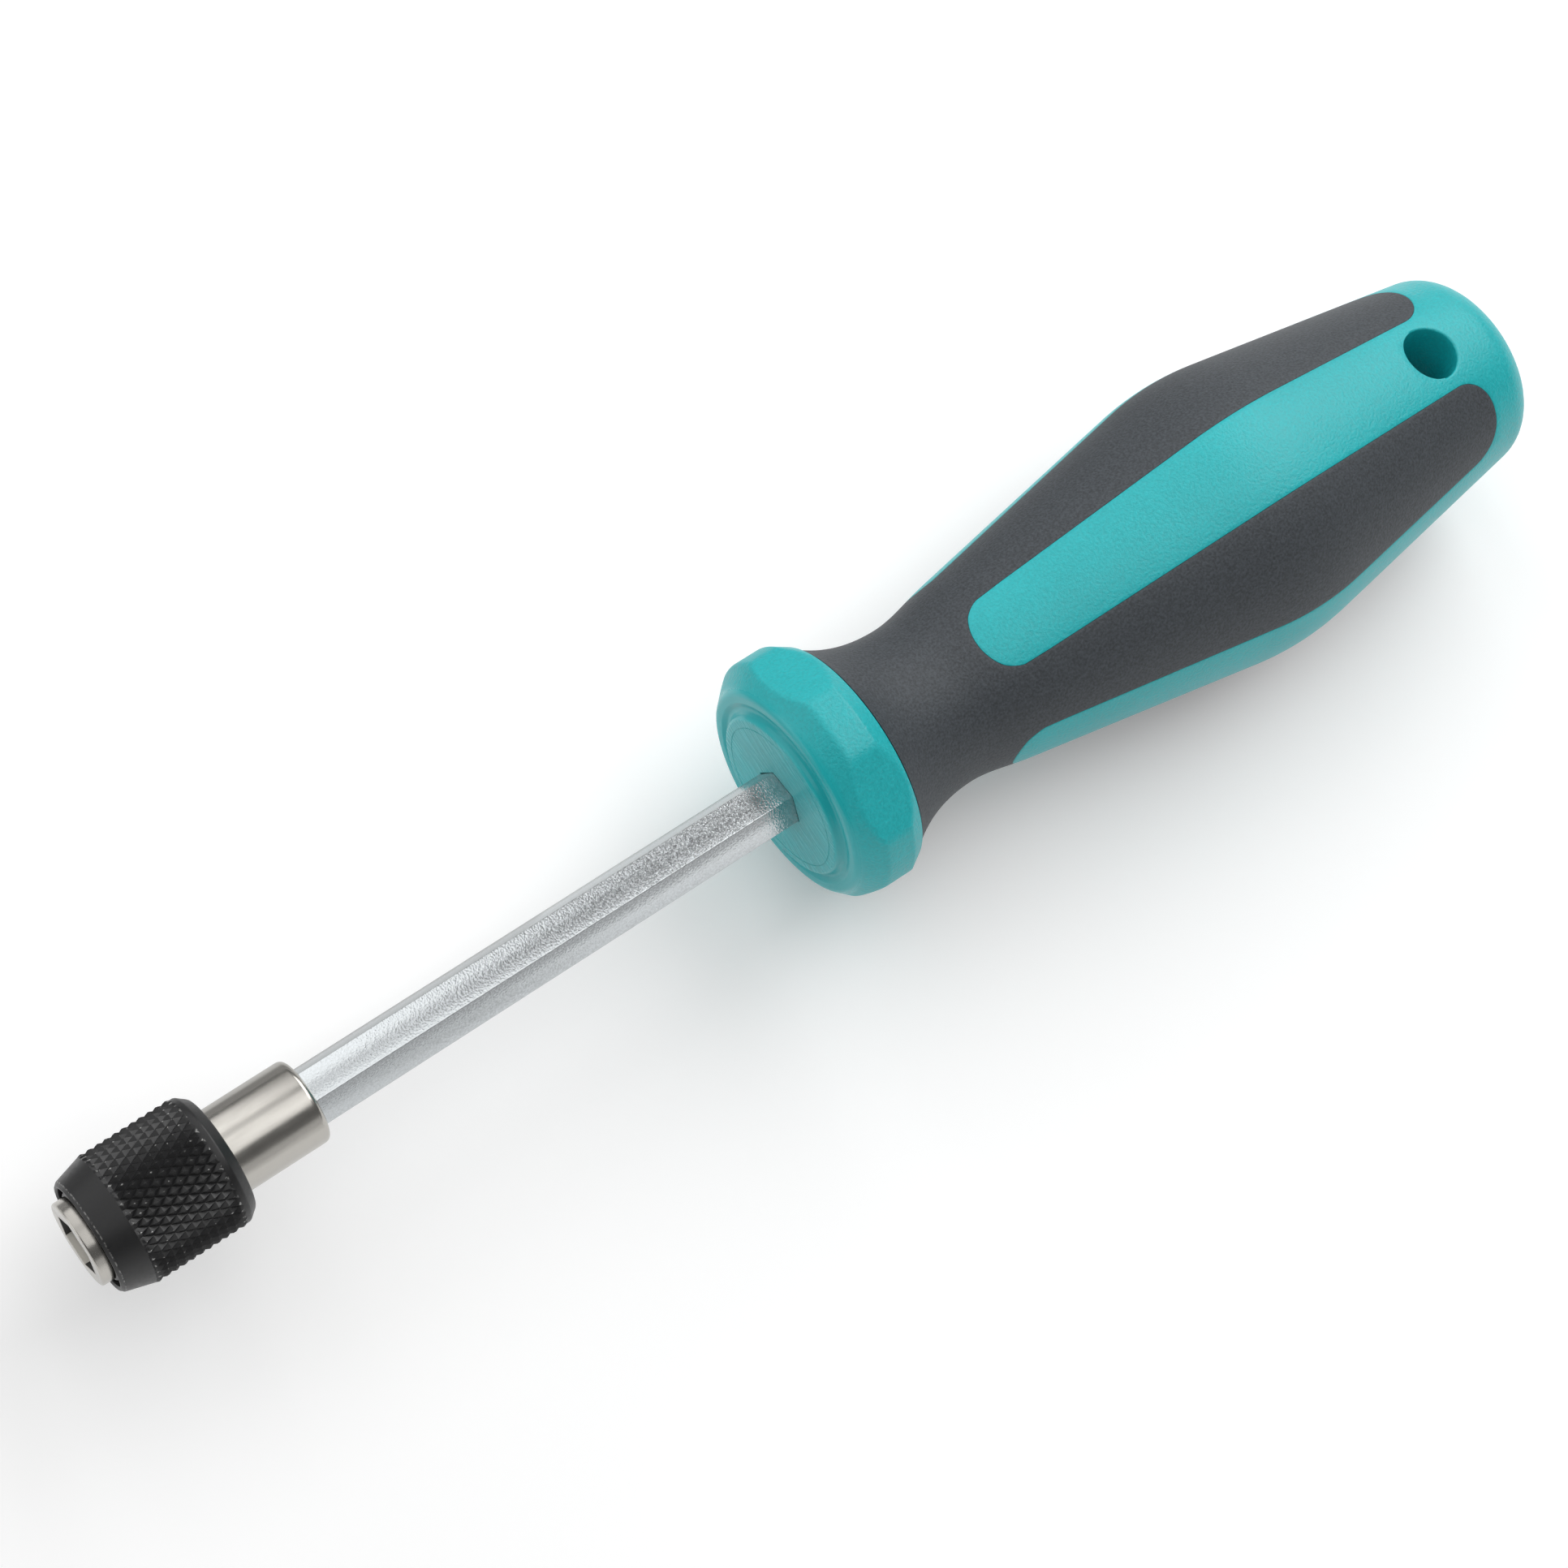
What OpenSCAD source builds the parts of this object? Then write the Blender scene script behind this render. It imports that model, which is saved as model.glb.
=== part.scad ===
// Bit holder screwdriver: a hex shaft with a quick-release bit holder at its tip
// and a handle of hard plastic with a soft grip moulded round it.
// X runs along the tool from the mouth of the bit socket to the butt, Z is up, and
// the faceted bolster lies on one of its flats. All sizes are millimetres and degrees.

/* [Bit holder] */
// Diameter of the bit holder
holder_d = 10.2; // [9.8:0.1:11]
// Length of the bit holder
holder_len = 28.8; // [27:0.1:40]
// Rounding of the rear edge of the bit holder
holder_round = 0.8; // [0.2:0.1:1.2]
// Rounding of the front edge of the bit holder
nose_round = 0.3; // [0.1:0.05:0.6]
// Width across the flats of the bit socket
socket_flats = 6.4; // [6.36:0.01:6.6]
// Depth of the bit socket
socket_depth = 19; // [17:0.5:20]
// Depth of the countersink at the mouth of the socket
mouth_depth = 0.7; // [0.3:0.1:1]
// Turn of the socket about the tool, from a flat facing up
socket_turn = 7; // [-30:1:30]
// Diameter of the magnet at the bottom of the socket
magnet_d = 5.5; // [4:0.1:6]
// Length of the magnet
magnet_len = 3; // [2:0.1:4]
// Rounding of the edges of the magnet
magnet_round = 0.2; // [0.1:0.05:0.5]
// Wall between the magnet and the end of the shaft
web_t = 0.8; // [0.5:0.1:2]

/* [Release sleeve] */
// Diameter over the knurl
sleeve_d = 15.8; // [15.2:0.1:20]
// Diameter of the front rim of the sleeve
sleeve_front_d = 13.7; // [13.2:0.1:15]
// Diameter of the rear face of the sleeve
sleeve_rear_d = 13.6; // [12:0.1:15]
// How far the sleeve starts behind the mouth of the socket
sleeve_start = 1.35; // [1:0.05:2]
// Length of the sleeve
sleeve_len = 16.55; // [16.2:0.05:24]
// Length of the smooth cone in front of the knurl
sleeve_cone_len = 4.05; // [2:0.05:6]
// Length of the rounded end behind the knurl
sleeve_tail_len = 1.8; // [1:0.05:3]
// Rounding between the knurl and that end
tail_round = 1; // [0.3:0.1:2]
// Rounding of the rear edge of the sleeve
sleeve_rear_round = 0.6; // [0.2:0.1:1]
// Chamfer round the front rim
sleeve_chamfer = 0.35; // [0.1:0.05:0.4]
// Bore of the spring chamber
chamber_d = 12.2; // [12:0.1:12.6]
// Bore of the recess that the stop ring and the released ball lie in
recess_d = 13.2; // [13:0.1:13.6]
// Travel of the sleeve towards the tip
sleeve_travel = 2; // [1.6:0.1:2.4]

/* [Lock ball] */
// Diameter of the ball
ball_d = 2.4; // [2.2:0.05:2.6]
// Distance of the ball from the mouth of the socket
ball_x = 9.6; // [9.2:0.1:10.5]
// How far the ball stands into a corner of the socket when it is locked
ball_reach = 0.75; // [0.5:0.05:0.9]

/* [Spring and rings] */
// Distance of the retaining ring from the mouth of the socket
ring_x = 1.9; // [1.6:0.1:2.2]
// Wire of the retaining ring
ring_wire = 0.7; // [0.5:0.05:0.8]
// Thickness of the two washers
washer_t = 0.5; // [0.4:0.05:0.6]
// Wire of the spring
spring_wire = 0.6; // [0.5:0.05:0.6]
// Turns of the spring
spring_turns = 2.5; // [2:0.5:2.5]
// Length of the spring at rest
spring_len = 4.1; // [4:0.1:4.4]
// Thickness of the stop ring
stop_t = 0.7; // [0.5:0.05:0.8]
// Depth of the two ring grooves in the bit holder
groove_depth = 0.35; // [0.2:0.05:0.5]

/* [Shaft] */
// Width across the flats of the shaft
shaft_flats = 6.35; // [6:0.05:8]
// Turn of the shaft about the tool, from a flat facing up
shaft_turn = -6; // [-30:1:30]
// Length of shaft that shows between bit holder and handle
shaft_free = 64.4; // [40:0.1:150]
// Length of shaft inside the handle
shaft_buried = 70; // [50:1:80]
// Diameter of the round tenon pressed into the bit holder
tenon_d = 6; // [5:0.1:6.2]
// Grooves that key the shaft into the plastic
key_grooves = 2; // [1:1:4]
// Width of a key groove
key_width = 2.5; // [1:0.1:4]
// Depth of a key groove below the flats
key_depth = 0.6; // [0.3:0.1:1]
// Spacing of the key grooves
key_pitch = 10; // [6:0.5:14]

/* [Bolster] */
// Diameter of the bolster over its rounded lands
bolster_d = 31.2; // [29.5:0.1:36]
// Number of flats round the bolster
bolster_flats = 5; // [4:1:8]
// Depth of a flat below the lands
flat_depth = 1.17; // [0.6:0.01:1.19]
// Length of the bolster from its front face to the soft grip
bolster_len = 9.3; // [9:0.1:14]
// Diameter of the boss round the shaft
boss_d = 20.6; // [16:0.1:22]
// Height of the boss in front of the ring
boss_step = 0.55; // [0.3:0.05:1]
// Rounding of the edge of the boss
boss_round = 1; // [0.3:0.1:1.5]
// Rounding of the cove between boss and ring
cove_round = 0.7; // [0.2:0.1:1]
// Diameter of the ring round the boss
ring_d = 25.2; // [23:0.1:26]
// Height of the ring in front of the cone
ring_step = 0.85; // [0.4:0.05:1.2]
// How far the side of the ring leans inwards
ring_lean = 0.2; // [0.1:0.05:0.4]
// Rounding of the edge of the ring
ring_round = 0.6; // [0.2:0.1:0.8]
// Rounding of the foot of the ring
ring_foot_round = 0.5; // [0.2:0.1:0.8]
// Where the cone ends and the lands begin, from the front face
cone_len = 3.5; // [3:0.1:4.5]
// Length of the rounded lands
land_len = 4.1; // [3:0.1:6]
// Rounding of the front edge of the lands
land_round = 0.4; // [0.2:0.1:0.8]
// Rounding of the rear edge of the lands
land_rear_round = 0.6; // [0.2:0.1:1]
// Diameter of the rear rim of the bolster
rim_d = 28.8; // [28:0.1:30]

/* [Handle] */
// Length of the handle
handle_len = 108.8; // [95:0.2:140]
// Diameter of the soft grip where it meets the bolster
flare_d = 28.3; // [24:0.1:28.8]
// Slope of the flare behind the bolster
flare_angle = 37; // [20:1:45]
// Diameter of the neck
neck_d = 20.8; // [18:0.1:24]
// Distance of the neck from the front face
neck_x = 20.8; // [18:0.1:24]
// Diameter of the cone where the stripes begin, behind the neck
shoulder_d = 23.8; // [21:0.1:26]
// Distance of that place from the front face
shoulder_x = 29.3; // [27:0.1:34]
// Diameter of the belly
belly_d = 35.9; // [32:0.1:42]
// Distance of the belly from the front face
belly_x = 67.2; // [60:0.1:76]
// Length of the rounding over the belly
belly_run = 12.6; // [6:0.1:20]
// Diameter of the handle where the butt starts to round
tail_d = 25.2; // [22:0.1:28]
// Distance of that place from the end of the butt
tail_x = 4.5; // [3:0.1:7]
// Diameter of the flat in the middle of the butt
butt_flat_d = 7; // [4:0.5:12]
// How far the rounded edge of the butt lies in front of that flat
butt_drop = 1.6; // [0.5:0.1:2.5]
// Rounding of the edge of the butt
butt_round = 6; // [3:0.5:8]
// Rounding of the edge of the flat in the butt
dome_round = 12; // [4:0.5:20]

/* [Soft grip] */
// Thickness of the soft grip
grip_t = 2; // [1.2:0.1:3]
// Distance of the rear ends of the grip panels from the end of the butt
panel_end = 9.1; // [7.5:0.1:12]
// Rounding of the rear ends of the grip panels
panel_round = 4.1; // [2:0.1:4.6]

/* [Stripes] */
// Number of hard stripes between the grip panels
stripes = 4; // [3:1:4]
// Distance of the front ends of the stripes from the front face
stripe_x = 26.1; // [24:0.1:36]
// Width of a stripe at its front end
stripe_front_w = 9.3; // [7:0.1:10]
// Width of a stripe over the belly
stripe_belly_w = 11.5; // [8:0.1:13]
// Corner rounding at the front end of a stripe
stripe_round = 2.2; // [1:0.1:4]

/* [Hanging hole] */
// Diameter of the hole
hole_d = 7; // [5:0.1:8]
// Distance of the hole from the end of the butt
hole_x = 13.4; // [12:0.1:16]

/* [Clearances] */
// Running fit of a piece that slides or turns, on the radius
running_gap = 0.05; // [0.02:0.01:0.1]
// Gap between the lock ball and the ramp in the sleeve
ball_gap = 0.05; // [0.02:0.01:0.1]
// Gap between pieces that seat against each other along the tool
seat_gap = 0.05; // [0.01:0.01:0.1]
// Gap between pieces that are pressed or moulded together
bond_gap = 0.02; // [0.01:0.01:0.05]
// Gap between the sleeve and what it passes without guiding it, on the radius
free_gap = 0.25; // [0.2:0.01:0.3]
// Gap between a washer and what it lies round or in, on the radius
washer_gap = 0.1; // [0.05:0.01:0.12]

/* [Hidden] */
$fn = 96;
// Steps along one rounding or curve
steps = 8;
// Overlap that makes a cut pass clean through a face
cut = 1;

teal = [0.22, 0.68, 0.70];
charcoal = [0.27, 0.29, 0.31];
zinc = [0.75, 0.76, 0.78];
nickel = [0.80, 0.79, 0.76];
black_oxide = [0.16, 0.16, 0.17];
spring_steel = [0.50, 0.50, 0.52];

// Places along the tool
handle_x = holder_len + shaft_free;
handle_end = handle_x + handle_len;
shaft_end = handle_x + shaft_buried;
rim_x = handle_x + bolster_len;
panel_x = handle_end - panel_end;
hole_at = handle_end - hole_x;
magnet_x = socket_depth;
tenon_x = magnet_x + magnet_len + web_t;
sleeve_end = sleeve_start + sleeve_len;

// The stack between retaining ring and sleeve, from the tip backwards
backing_x = ring_x + ring_wire / 2 + seat_gap;
spring_x = backing_x + washer_t + seat_gap;
follower_x = spring_x + spring_len + seat_gap;
chamber_end = follower_x + washer_t + seat_gap;

// The ball is driven by a ramp whose slope is the ball's lift over the sleeve's travel
socket_corner = socket_flats / sqrt(3);
ball_r = ball_d / 2;
ball_seat = socket_corner - ball_reach + ball_r;
ramp_slope = ball_reach / sleeve_travel;
ramp_angle = atan(ramp_slope);
ramp_mid_r = ball_seat + (ball_r + ball_gap) / cos(ramp_angle);
ramp_low_r = holder_d / 2 + free_gap;
ramp_x = ball_x - (ramp_mid_r - ramp_low_r) / ramp_slope;
ramp_end = ball_x + sleeve_travel - ball_r * sin(ramp_angle) + free_gap;
ramp_high_r = ramp_mid_r + ramp_slope * (ramp_end - ball_x);
stop_x = ramp_end + seat_gap;
guide_x = stop_x + stop_t + sleeve_travel + free_gap;
ball_turn = socket_turn + 90;

// Helpers for outlines: points are [radius, place along the tool, corner rounding]
function flat(p) = [p[0], p[1]];
function unit(v) = v / norm(v);
function short_turn(a) = a > 180 ? a - 360 : (a < -180 ? a + 360 : a);
function arc(c, r, a, turn) =
    [for (i = [0 : steps]) c + r * [cos(a + turn * i / steps), sin(a + turn * i / steps)]];
// Rounding of one corner, limited by the sides that it lies between
function corner(before, at, after, r) =
    let (u = unit(before - at))
    let (v = unit(after - at))
    let (half = acos(max(-1, min(1, u * v))) / 2)
    let (run = min(r / tan(half), norm(before - at) / 2, norm(after - at) / 2))
    let (c = at + unit(u + v) * run / cos(half))
    let (first = at + u * run - c)
    let (last = at + v * run - c)
    let (a = atan2(first[1], first[0]))
    let (turn = short_turn(atan2(last[1], last[0]) - a))
    arc(c, norm(first), a, turn);
// An outline with its corners rounded, open or closed
function rounded(path) =
    let (n = len(path))
    [for (i = [0 : n - 1])
        for (p = path[i][2] > 0
            ? corner(flat(path[(i + n - 1) % n]), flat(path[i]), flat(path[(i + 1) % n]), path[i][2])
            : [flat(path[i])])
            p];
// Smooth curve from p to q that leaves and arrives at the given slopes
function curve(p, p_slope, q, q_slope) =
    let (h = (q[1] - p[1]) / 3)
    let (a = p + h * [p_slope, 1])
    let (b = q - h * [q_slope, 1])
    [for (i = [0 : steps])
        let (t = i / steps)
        let (s = 1 - t)
        s * s * s * p + 3 * s * s * t * a + 3 * s * t * t * b + t * t * t * q];

// Lays a shape that was drawn along its own z onto the tool's axis: z to X and x to up
module lengthwise() {
    rotate(a = 180, v = [1, 0, 1]) children();
}

// A turned piece from an outline
module turned(outline) {
    lengthwise() rotate_extrude() polygon(outline);
}

// A ring of rectangular section
module flat_ring(inner_r, outer_r, from, to) {
    turned([[inner_r, from], [outer_r, from], [outer_r, to], [inner_r, to]]);
}

// A hex bar along the tool, with a flat turned away from up
module hex_bar(flats, turn, from, to) {
    lengthwise() translate([0, 0, from]) rotate(turn + 30)
        cylinder(d = 2 * flats / sqrt(3), h = to - from, $fn = 6);
}

// Outline of the bolster from the middle of its front face to its rear rim
bolster_outline = rounded([
    [0, handle_x, 0],
    [boss_d / 2, handle_x, boss_round],
    [boss_d / 2 + boss_step, handle_x + boss_step, cove_round],
    [ring_d / 2 - ring_lean, handle_x + boss_step + ring_lean / 2, ring_round],
    [ring_d / 2, handle_x + boss_step + ring_step, ring_foot_round],
    [bolster_d / 2, handle_x + cone_len, land_round],
    [bolster_d / 2, handle_x + cone_len + land_len, land_rear_round],
    [rim_d / 2, rim_x, 0]]);

// Slopes of the two cones that meet at the belly
front_slope = (belly_d - shoulder_d) / 2 / (belly_x - belly_run / 4 - shoulder_x);
tail_at = handle_len - tail_x;
rear_slope = (belly_d - tail_d) / 2 / (tail_at - belly_x - belly_run / 4);
belly_front_x = handle_x + belly_x - belly_run / 2;
belly_rear_x = handle_x + belly_x + belly_run / 2;
shoulder_at = [shoulder_d / 2, handle_x + shoulder_x];
tail_point = [tail_d / 2, handle_x + tail_at];
belly_front = shoulder_at + (belly_front_x - shoulder_at[1]) * [front_slope, 1];
belly_rear = tail_point + (belly_rear_x - tail_point[1]) * [-rear_slope, 1];

// Outline of the grip zone, from the bolster to the butt
grip_outline = concat(
    curve([flare_d / 2, rim_x], -tan(flare_angle), [neck_d / 2, handle_x + neck_x], 0),
    curve([neck_d / 2, handle_x + neck_x], 0, shoulder_at, front_slope),
    curve(belly_front, front_slope, belly_rear, -rear_slope));
panel_r = tail_d / 2 + rear_slope * (tail_point[1] - panel_x);

// Outline of the butt behind the grip panels
butt_outline = rounded([
    [panel_r, panel_x, 0],
    [tail_d / 2 - rear_slope * (tail_x - butt_drop), handle_end - butt_drop, butt_round],
    [butt_flat_d / 2, handle_end, dome_round],
    [0, handle_end, 0]]);

handle_outline = concat(bolster_outline, grip_outline, butt_outline);

// Ring that the soft grip fills, drawn in from the handle's surface by its thickness.
// spare lifts the outside clear of the surface for a cut, gap shrinks the moulded piece.
module grip_ring(spare, gap) {
    outer = [for (p = concat(grip_outline, [[panel_r, panel_x - gap]])) p + [spare, 0]];
    inner = [for (p = concat(grip_outline, [[panel_r, panel_x - gap]])) p - [grip_t - gap, 0]];
    front = rim_x + gap;
    n = len(outer);
    turned(concat(
        [[outer[0][0], front]],
        [for (i = [1 : n - 1]) outer[i]],
        [for (i = [n - 1 : -1 : 1]) inner[i]],
        [[inner[0][0], front]]));
}

// Outline of half a stripe seen from straight above it: [sideways, along the tool].
// The sides bow out over the belly, and the rear flares round the ends of the panels.
function stripe_half(at) =
    let (bow = (at - handle_x - belly_x) / (belly_x - stripe_x))
    stripe_belly_w / 2 - (stripe_belly_w - stripe_front_w) / 2 * bow * bow;
function stripe_side(gap) =
    let (front = handle_x + stripe_x - gap)
    let (flare_x = panel_x - panel_round)
    let (turn_at = stripe_half(flare_x) + panel_round)
    concat(
        corner([0, front], [stripe_half(front) + gap, front], [stripe_half(front) + gap, flare_x],
            stripe_round),
        [for (i = [1 : steps])
            let (at = front + stripe_round + (flare_x - front - stripe_round) * i / steps)
            [stripe_half(at) + gap, at]],
        [for (i = [1 : steps])
            let (a = 90 * i / steps)
            [turn_at - (panel_round - gap) * cos(a), flare_x + (panel_round - gap) * sin(a)]],
        [[belly_d, panel_x - gap], [belly_d, panel_x + cut]]);
module stripe_cutters(gap) {
    half = stripe_side(gap);
    n = len(half);
    sector = belly_d * tan(180 / stripes);
    for (i = [0 : stripes - 1])
        lengthwise() rotate(i * 360 / stripes) intersection() {
            rotate([90, 0, 90]) linear_extrude(belly_d)
                polygon(concat(half, [for (j = [n - 1 : -1 : 0]) [-half[j][0], half[j][1]]]));
            translate([0, 0, handle_x]) linear_extrude(handle_len)
                polygon([[0, 0], [belly_d, -sector], [belly_d, sector]]);
        }
}

// Hard core: bolster, neck, stripes and butt in one moulding
module handle_body() {
    color(teal) difference() {
        turned(handle_outline);
        // Flats of the bolster, the first facing down
        lengthwise() for (i = [0 : bolster_flats - 1])
            rotate(180 + i * 360 / bolster_flats)
                translate([bolster_d / 2 - flat_depth, -bolster_d / 2, handle_x - cut])
                    cube([bolster_d, bolster_d, bolster_len + cut]);
        difference() {
            grip_ring(cut, 0);
            stripe_cutters(0);
        }
        shaft_shape(bond_gap);
        translate([hole_at, 0, -belly_d]) cylinder(d = hole_d, h = 2 * belly_d);
    }
}

// Soft grip: a neck sleeve that runs on into panels between the stripes
module soft_grip() {
    color(charcoal) difference() {
        grip_ring(0, bond_gap);
        stripe_cutters(bond_gap);
    }
}

// Hex bar with its tenon and key grooves, grown by gap for the hole that takes it
module shaft_shape(gap) {
    difference() {
        union() {
            hex_bar(shaft_flats + 2 * gap, shaft_turn, holder_len, shaft_end + gap);
            turned([[0, tenon_x + seat_gap], [tenon_d / 2, tenon_x + seat_gap],
                [tenon_d / 2, holder_len + cut], [0, holder_len + cut]]);
        }
        for (i = [1 : key_grooves]) {
            at = shaft_end - i * key_pitch;
            flat_ring(shaft_flats / 2 - key_depth + gap, shaft_flats, at + gap, at + key_width - gap);
        }
    }
}

module hex_shaft() {
    color(zinc) shaft_shape(0);
}

// Bit holder: socket and magnet pocket in front, bore for the shaft's tenon behind
module holder_body() {
    r = holder_d / 2;
    mouth_r = socket_corner + mouth_depth / 2;
    color(nickel) difference() {
        turned(rounded([
            [0, 0, 0], [r, 0, nose_round], [r, holder_len, holder_round], [0, holder_len, 0]]));
        hex_bar(socket_flats, socket_turn, -cut, socket_depth);
        turned([[0, -cut], [mouth_r, -cut], [mouth_r, 0], [mouth_r - mouth_depth, mouth_depth],
            [0, mouth_depth]]);
        turned([[0, magnet_x - cut], [magnet_d / 2 + bond_gap, magnet_x - cut],
            [magnet_d / 2 + bond_gap, magnet_x + magnet_len], [0, magnet_x + magnet_len]]);
        turned([[0, tenon_x], [tenon_d / 2 + bond_gap, tenon_x],
            [tenon_d / 2 + bond_gap, holder_len + cut], [0, holder_len + cut]]);
        // Grooves for the retaining ring and the stop ring
        flat_ring(r - groove_depth, holder_d, ring_x - ring_wire / 2 - running_gap,
            ring_x + ring_wire / 2 + running_gap);
        flat_ring(r - groove_depth, holder_d, stop_x - running_gap, stop_x + stop_t + running_gap);
        // Hole that the ball slides in, through a corner of the socket
        lengthwise() translate([0, 0, ball_x]) rotate(ball_turn) rotate([0, 90, 0])
            cylinder(d = ball_d + 2 * running_gap, h = holder_d);
    }
}

module bit_magnet() {
    end = magnet_x + magnet_len - bond_gap;
    color(spring_steel) turned(rounded([
        [0, magnet_x, 0], [magnet_d / 2, magnet_x, magnet_round],
        [magnet_d / 2, end, magnet_round], [0, end, 0]]));
}

// Wire ring in the front groove, which holds the washers, spring and sleeve on the bit holder
module retaining_ring() {
    ring_r = holder_d / 2 - groove_depth + running_gap + ring_wire / 2;
    color(spring_steel) lengthwise() translate([0, 0, ring_x]) rotate_extrude()
        translate([ring_r, 0]) circle(d = ring_wire, $fn = 24);
}

washer_in = holder_d / 2 + washer_gap;
washer_out = chamber_d / 2 - washer_gap;

module backing_washer() {
    color(black_oxide) flat_ring(washer_in, washer_out, backing_x, backing_x + washer_t);
}

module follower_washer() {
    color(spring_steel) flat_ring(washer_in, washer_out, follower_x, follower_x + washer_t);
}

// Coil spring between the washers: one tube along a helix
spring_r = (washer_in + washer_out) / 2;
spring_sides = 6;
rings_per_turn = 24;
spring_rings = ceil(spring_turns * rings_per_turn);
spring_pitch = (spring_len - spring_wire) / spring_turns;
function spring_centre(i) =
    let (a = 360 * i / rings_per_turn)
    [spring_r * cos(a), spring_r * sin(a), spring_x + spring_wire / 2 + spring_pitch * i / rings_per_turn];
spring_points = [for (i = [0 : spring_rings]) for (j = [0 : spring_sides - 1])
    let (a = 360 * i / rings_per_turn)
    let (b = 360 * (j + 0.5) / spring_sides)
    let (w = spring_wire / 2)
    spring_centre(i) + w * [cos(b) * cos(a), cos(b) * sin(a), sin(b)]];
function spring_quad(i, j) =
    let (k = (j + 1) % spring_sides)
    let (a = i * spring_sides)
    let (b = a + spring_sides)
    [[a + j, b + k, a + k], [a + j, b + j, b + k]];
spring_last = spring_rings * spring_sides;
spring_faces = concat(
    [for (i = [0 : spring_rings - 1]) for (j = [0 : spring_sides - 1]) for (f = spring_quad(i, j)) f],
    [for (j = [1 : spring_sides - 2]) [0, j, j + 1]],
    [for (j = [1 : spring_sides - 2]) [spring_last, spring_last + j + 1, spring_last + j]]);
// Least gap of the spring to itself, between rings at least half a turn apart
spring_least = min([for (i = [0 : spring_rings]) for (j = [i + rings_per_turn / 2 : spring_rings])
    norm(spring_centre(i) - spring_centre(j)) - spring_wire]);
echo(spring_least_gap = spring_least);

module sleeve_spring() {
    color(spring_steel) lengthwise() polyhedron(spring_points, spring_faces);
}

// Sleeve: spring chamber in front, the ball's ramp, the recess of the stop ring, a guide behind
module release_sleeve() {
    front_r = sleeve_front_d / 2;
    knurl_x = sleeve_start + sleeve_cone_len;
    tail_r = sleeve_rear_d / 2;
    color(black_oxide) turned(concat(
        [[chamber_d / 2, sleeve_start + sleeve_chamfer / 2],
            [chamber_d / 2 + sleeve_chamfer / 2, sleeve_start],
            [front_r - sleeve_chamfer, sleeve_start],
            [front_r, sleeve_start + sleeve_chamfer]],
        rounded([
            [sleeve_d / 2, knurl_x, 0],
            [sleeve_d / 2, sleeve_end - sleeve_tail_len, tail_round],
            [tail_r, sleeve_end, sleeve_rear_round],
            [holder_d / 2 + running_gap, sleeve_end, 0]]),
        [[holder_d / 2 + running_gap, guide_x],
            [recess_d / 2, guide_x],
            [recess_d / 2, ramp_end],
            [ramp_high_r, ramp_end],
            [ramp_low_r, ramp_x],
            [ramp_low_r, chamber_end],
            [chamber_d / 2, chamber_end]]));
}

// Flat snap ring that stops the sleeve at rest
module stop_ring() {
    color(spring_steel) flat_ring(holder_d / 2 - groove_depth + running_gap, recess_d / 2 - 2 * washer_gap,
        stop_x, stop_x + stop_t);
}

module lock_ball() {
    color(zinc) lengthwise() translate([0, 0, ball_x]) rotate(ball_turn)
        translate([ball_seat, 0, 0]) sphere(r = ball_r);
}

handle_body();
soft_grip();
hex_shaft();
holder_body();
bit_magnet();
retaining_ring();
backing_washer();
sleeve_spring();
follower_washer();
release_sleeve();
stop_ring();
lock_ball();
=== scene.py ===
"""Looks of a bit holder screwdriver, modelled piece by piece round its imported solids.

Lengths are metres in the frame of the solids: X from the mouth of the bit socket to the butt, Z up.
Roll is the angle about the tool, from up towards -Y.
"""

import math

import bmesh
import bpy
from bpy.props import FloatProperty, FloatVectorProperty, IntProperty, PointerProperty
from mathutils import Matrix, Vector


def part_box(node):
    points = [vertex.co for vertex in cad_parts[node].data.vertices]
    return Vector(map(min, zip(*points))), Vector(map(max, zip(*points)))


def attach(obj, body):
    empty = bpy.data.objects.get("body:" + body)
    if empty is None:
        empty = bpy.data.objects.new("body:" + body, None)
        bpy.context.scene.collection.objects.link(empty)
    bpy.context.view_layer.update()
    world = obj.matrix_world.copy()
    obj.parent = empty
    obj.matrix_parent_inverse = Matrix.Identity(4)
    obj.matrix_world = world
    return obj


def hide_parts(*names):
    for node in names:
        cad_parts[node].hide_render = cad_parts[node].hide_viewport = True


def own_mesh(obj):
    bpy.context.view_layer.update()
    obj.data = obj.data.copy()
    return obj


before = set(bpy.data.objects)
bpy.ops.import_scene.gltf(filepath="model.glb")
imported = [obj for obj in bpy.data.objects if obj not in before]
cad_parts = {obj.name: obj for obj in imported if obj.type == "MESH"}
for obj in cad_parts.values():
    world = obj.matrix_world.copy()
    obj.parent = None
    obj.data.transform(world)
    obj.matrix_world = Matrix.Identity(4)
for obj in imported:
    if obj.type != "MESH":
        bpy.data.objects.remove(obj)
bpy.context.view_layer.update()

bl_info = {
    "name": "Bit holder screwdriver",
    "version": (1, 0, 0),
    "blender": (4, 5, 0),
    "location": "3D View > Sidebar > Screwdriver",
    "description": "Builds the looks of a bit holder screwdriver round its solids",
    "category": "Mesh",
}

MM = 0.001
MERGE = 0.002 * MM
HANDLE_LOW, HANDLE_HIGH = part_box("handle_body")
FRONT_FACE = HANDLE_LOW.x
BUTT_END = HANDLE_HIGH.x
HOLDER_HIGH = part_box("holder_body")[1]
SLEEVE_LOW, SLEEVE_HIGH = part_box("release_sleeve")
SHAFT_LOW, SHAFT_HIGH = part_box("hex_shaft")
SPRING_LOW, SPRING_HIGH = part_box("sleeve_spring")
# Bevel of the sleeve's front edge, which is worn bright
LIP = 0.35 * MM


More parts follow.
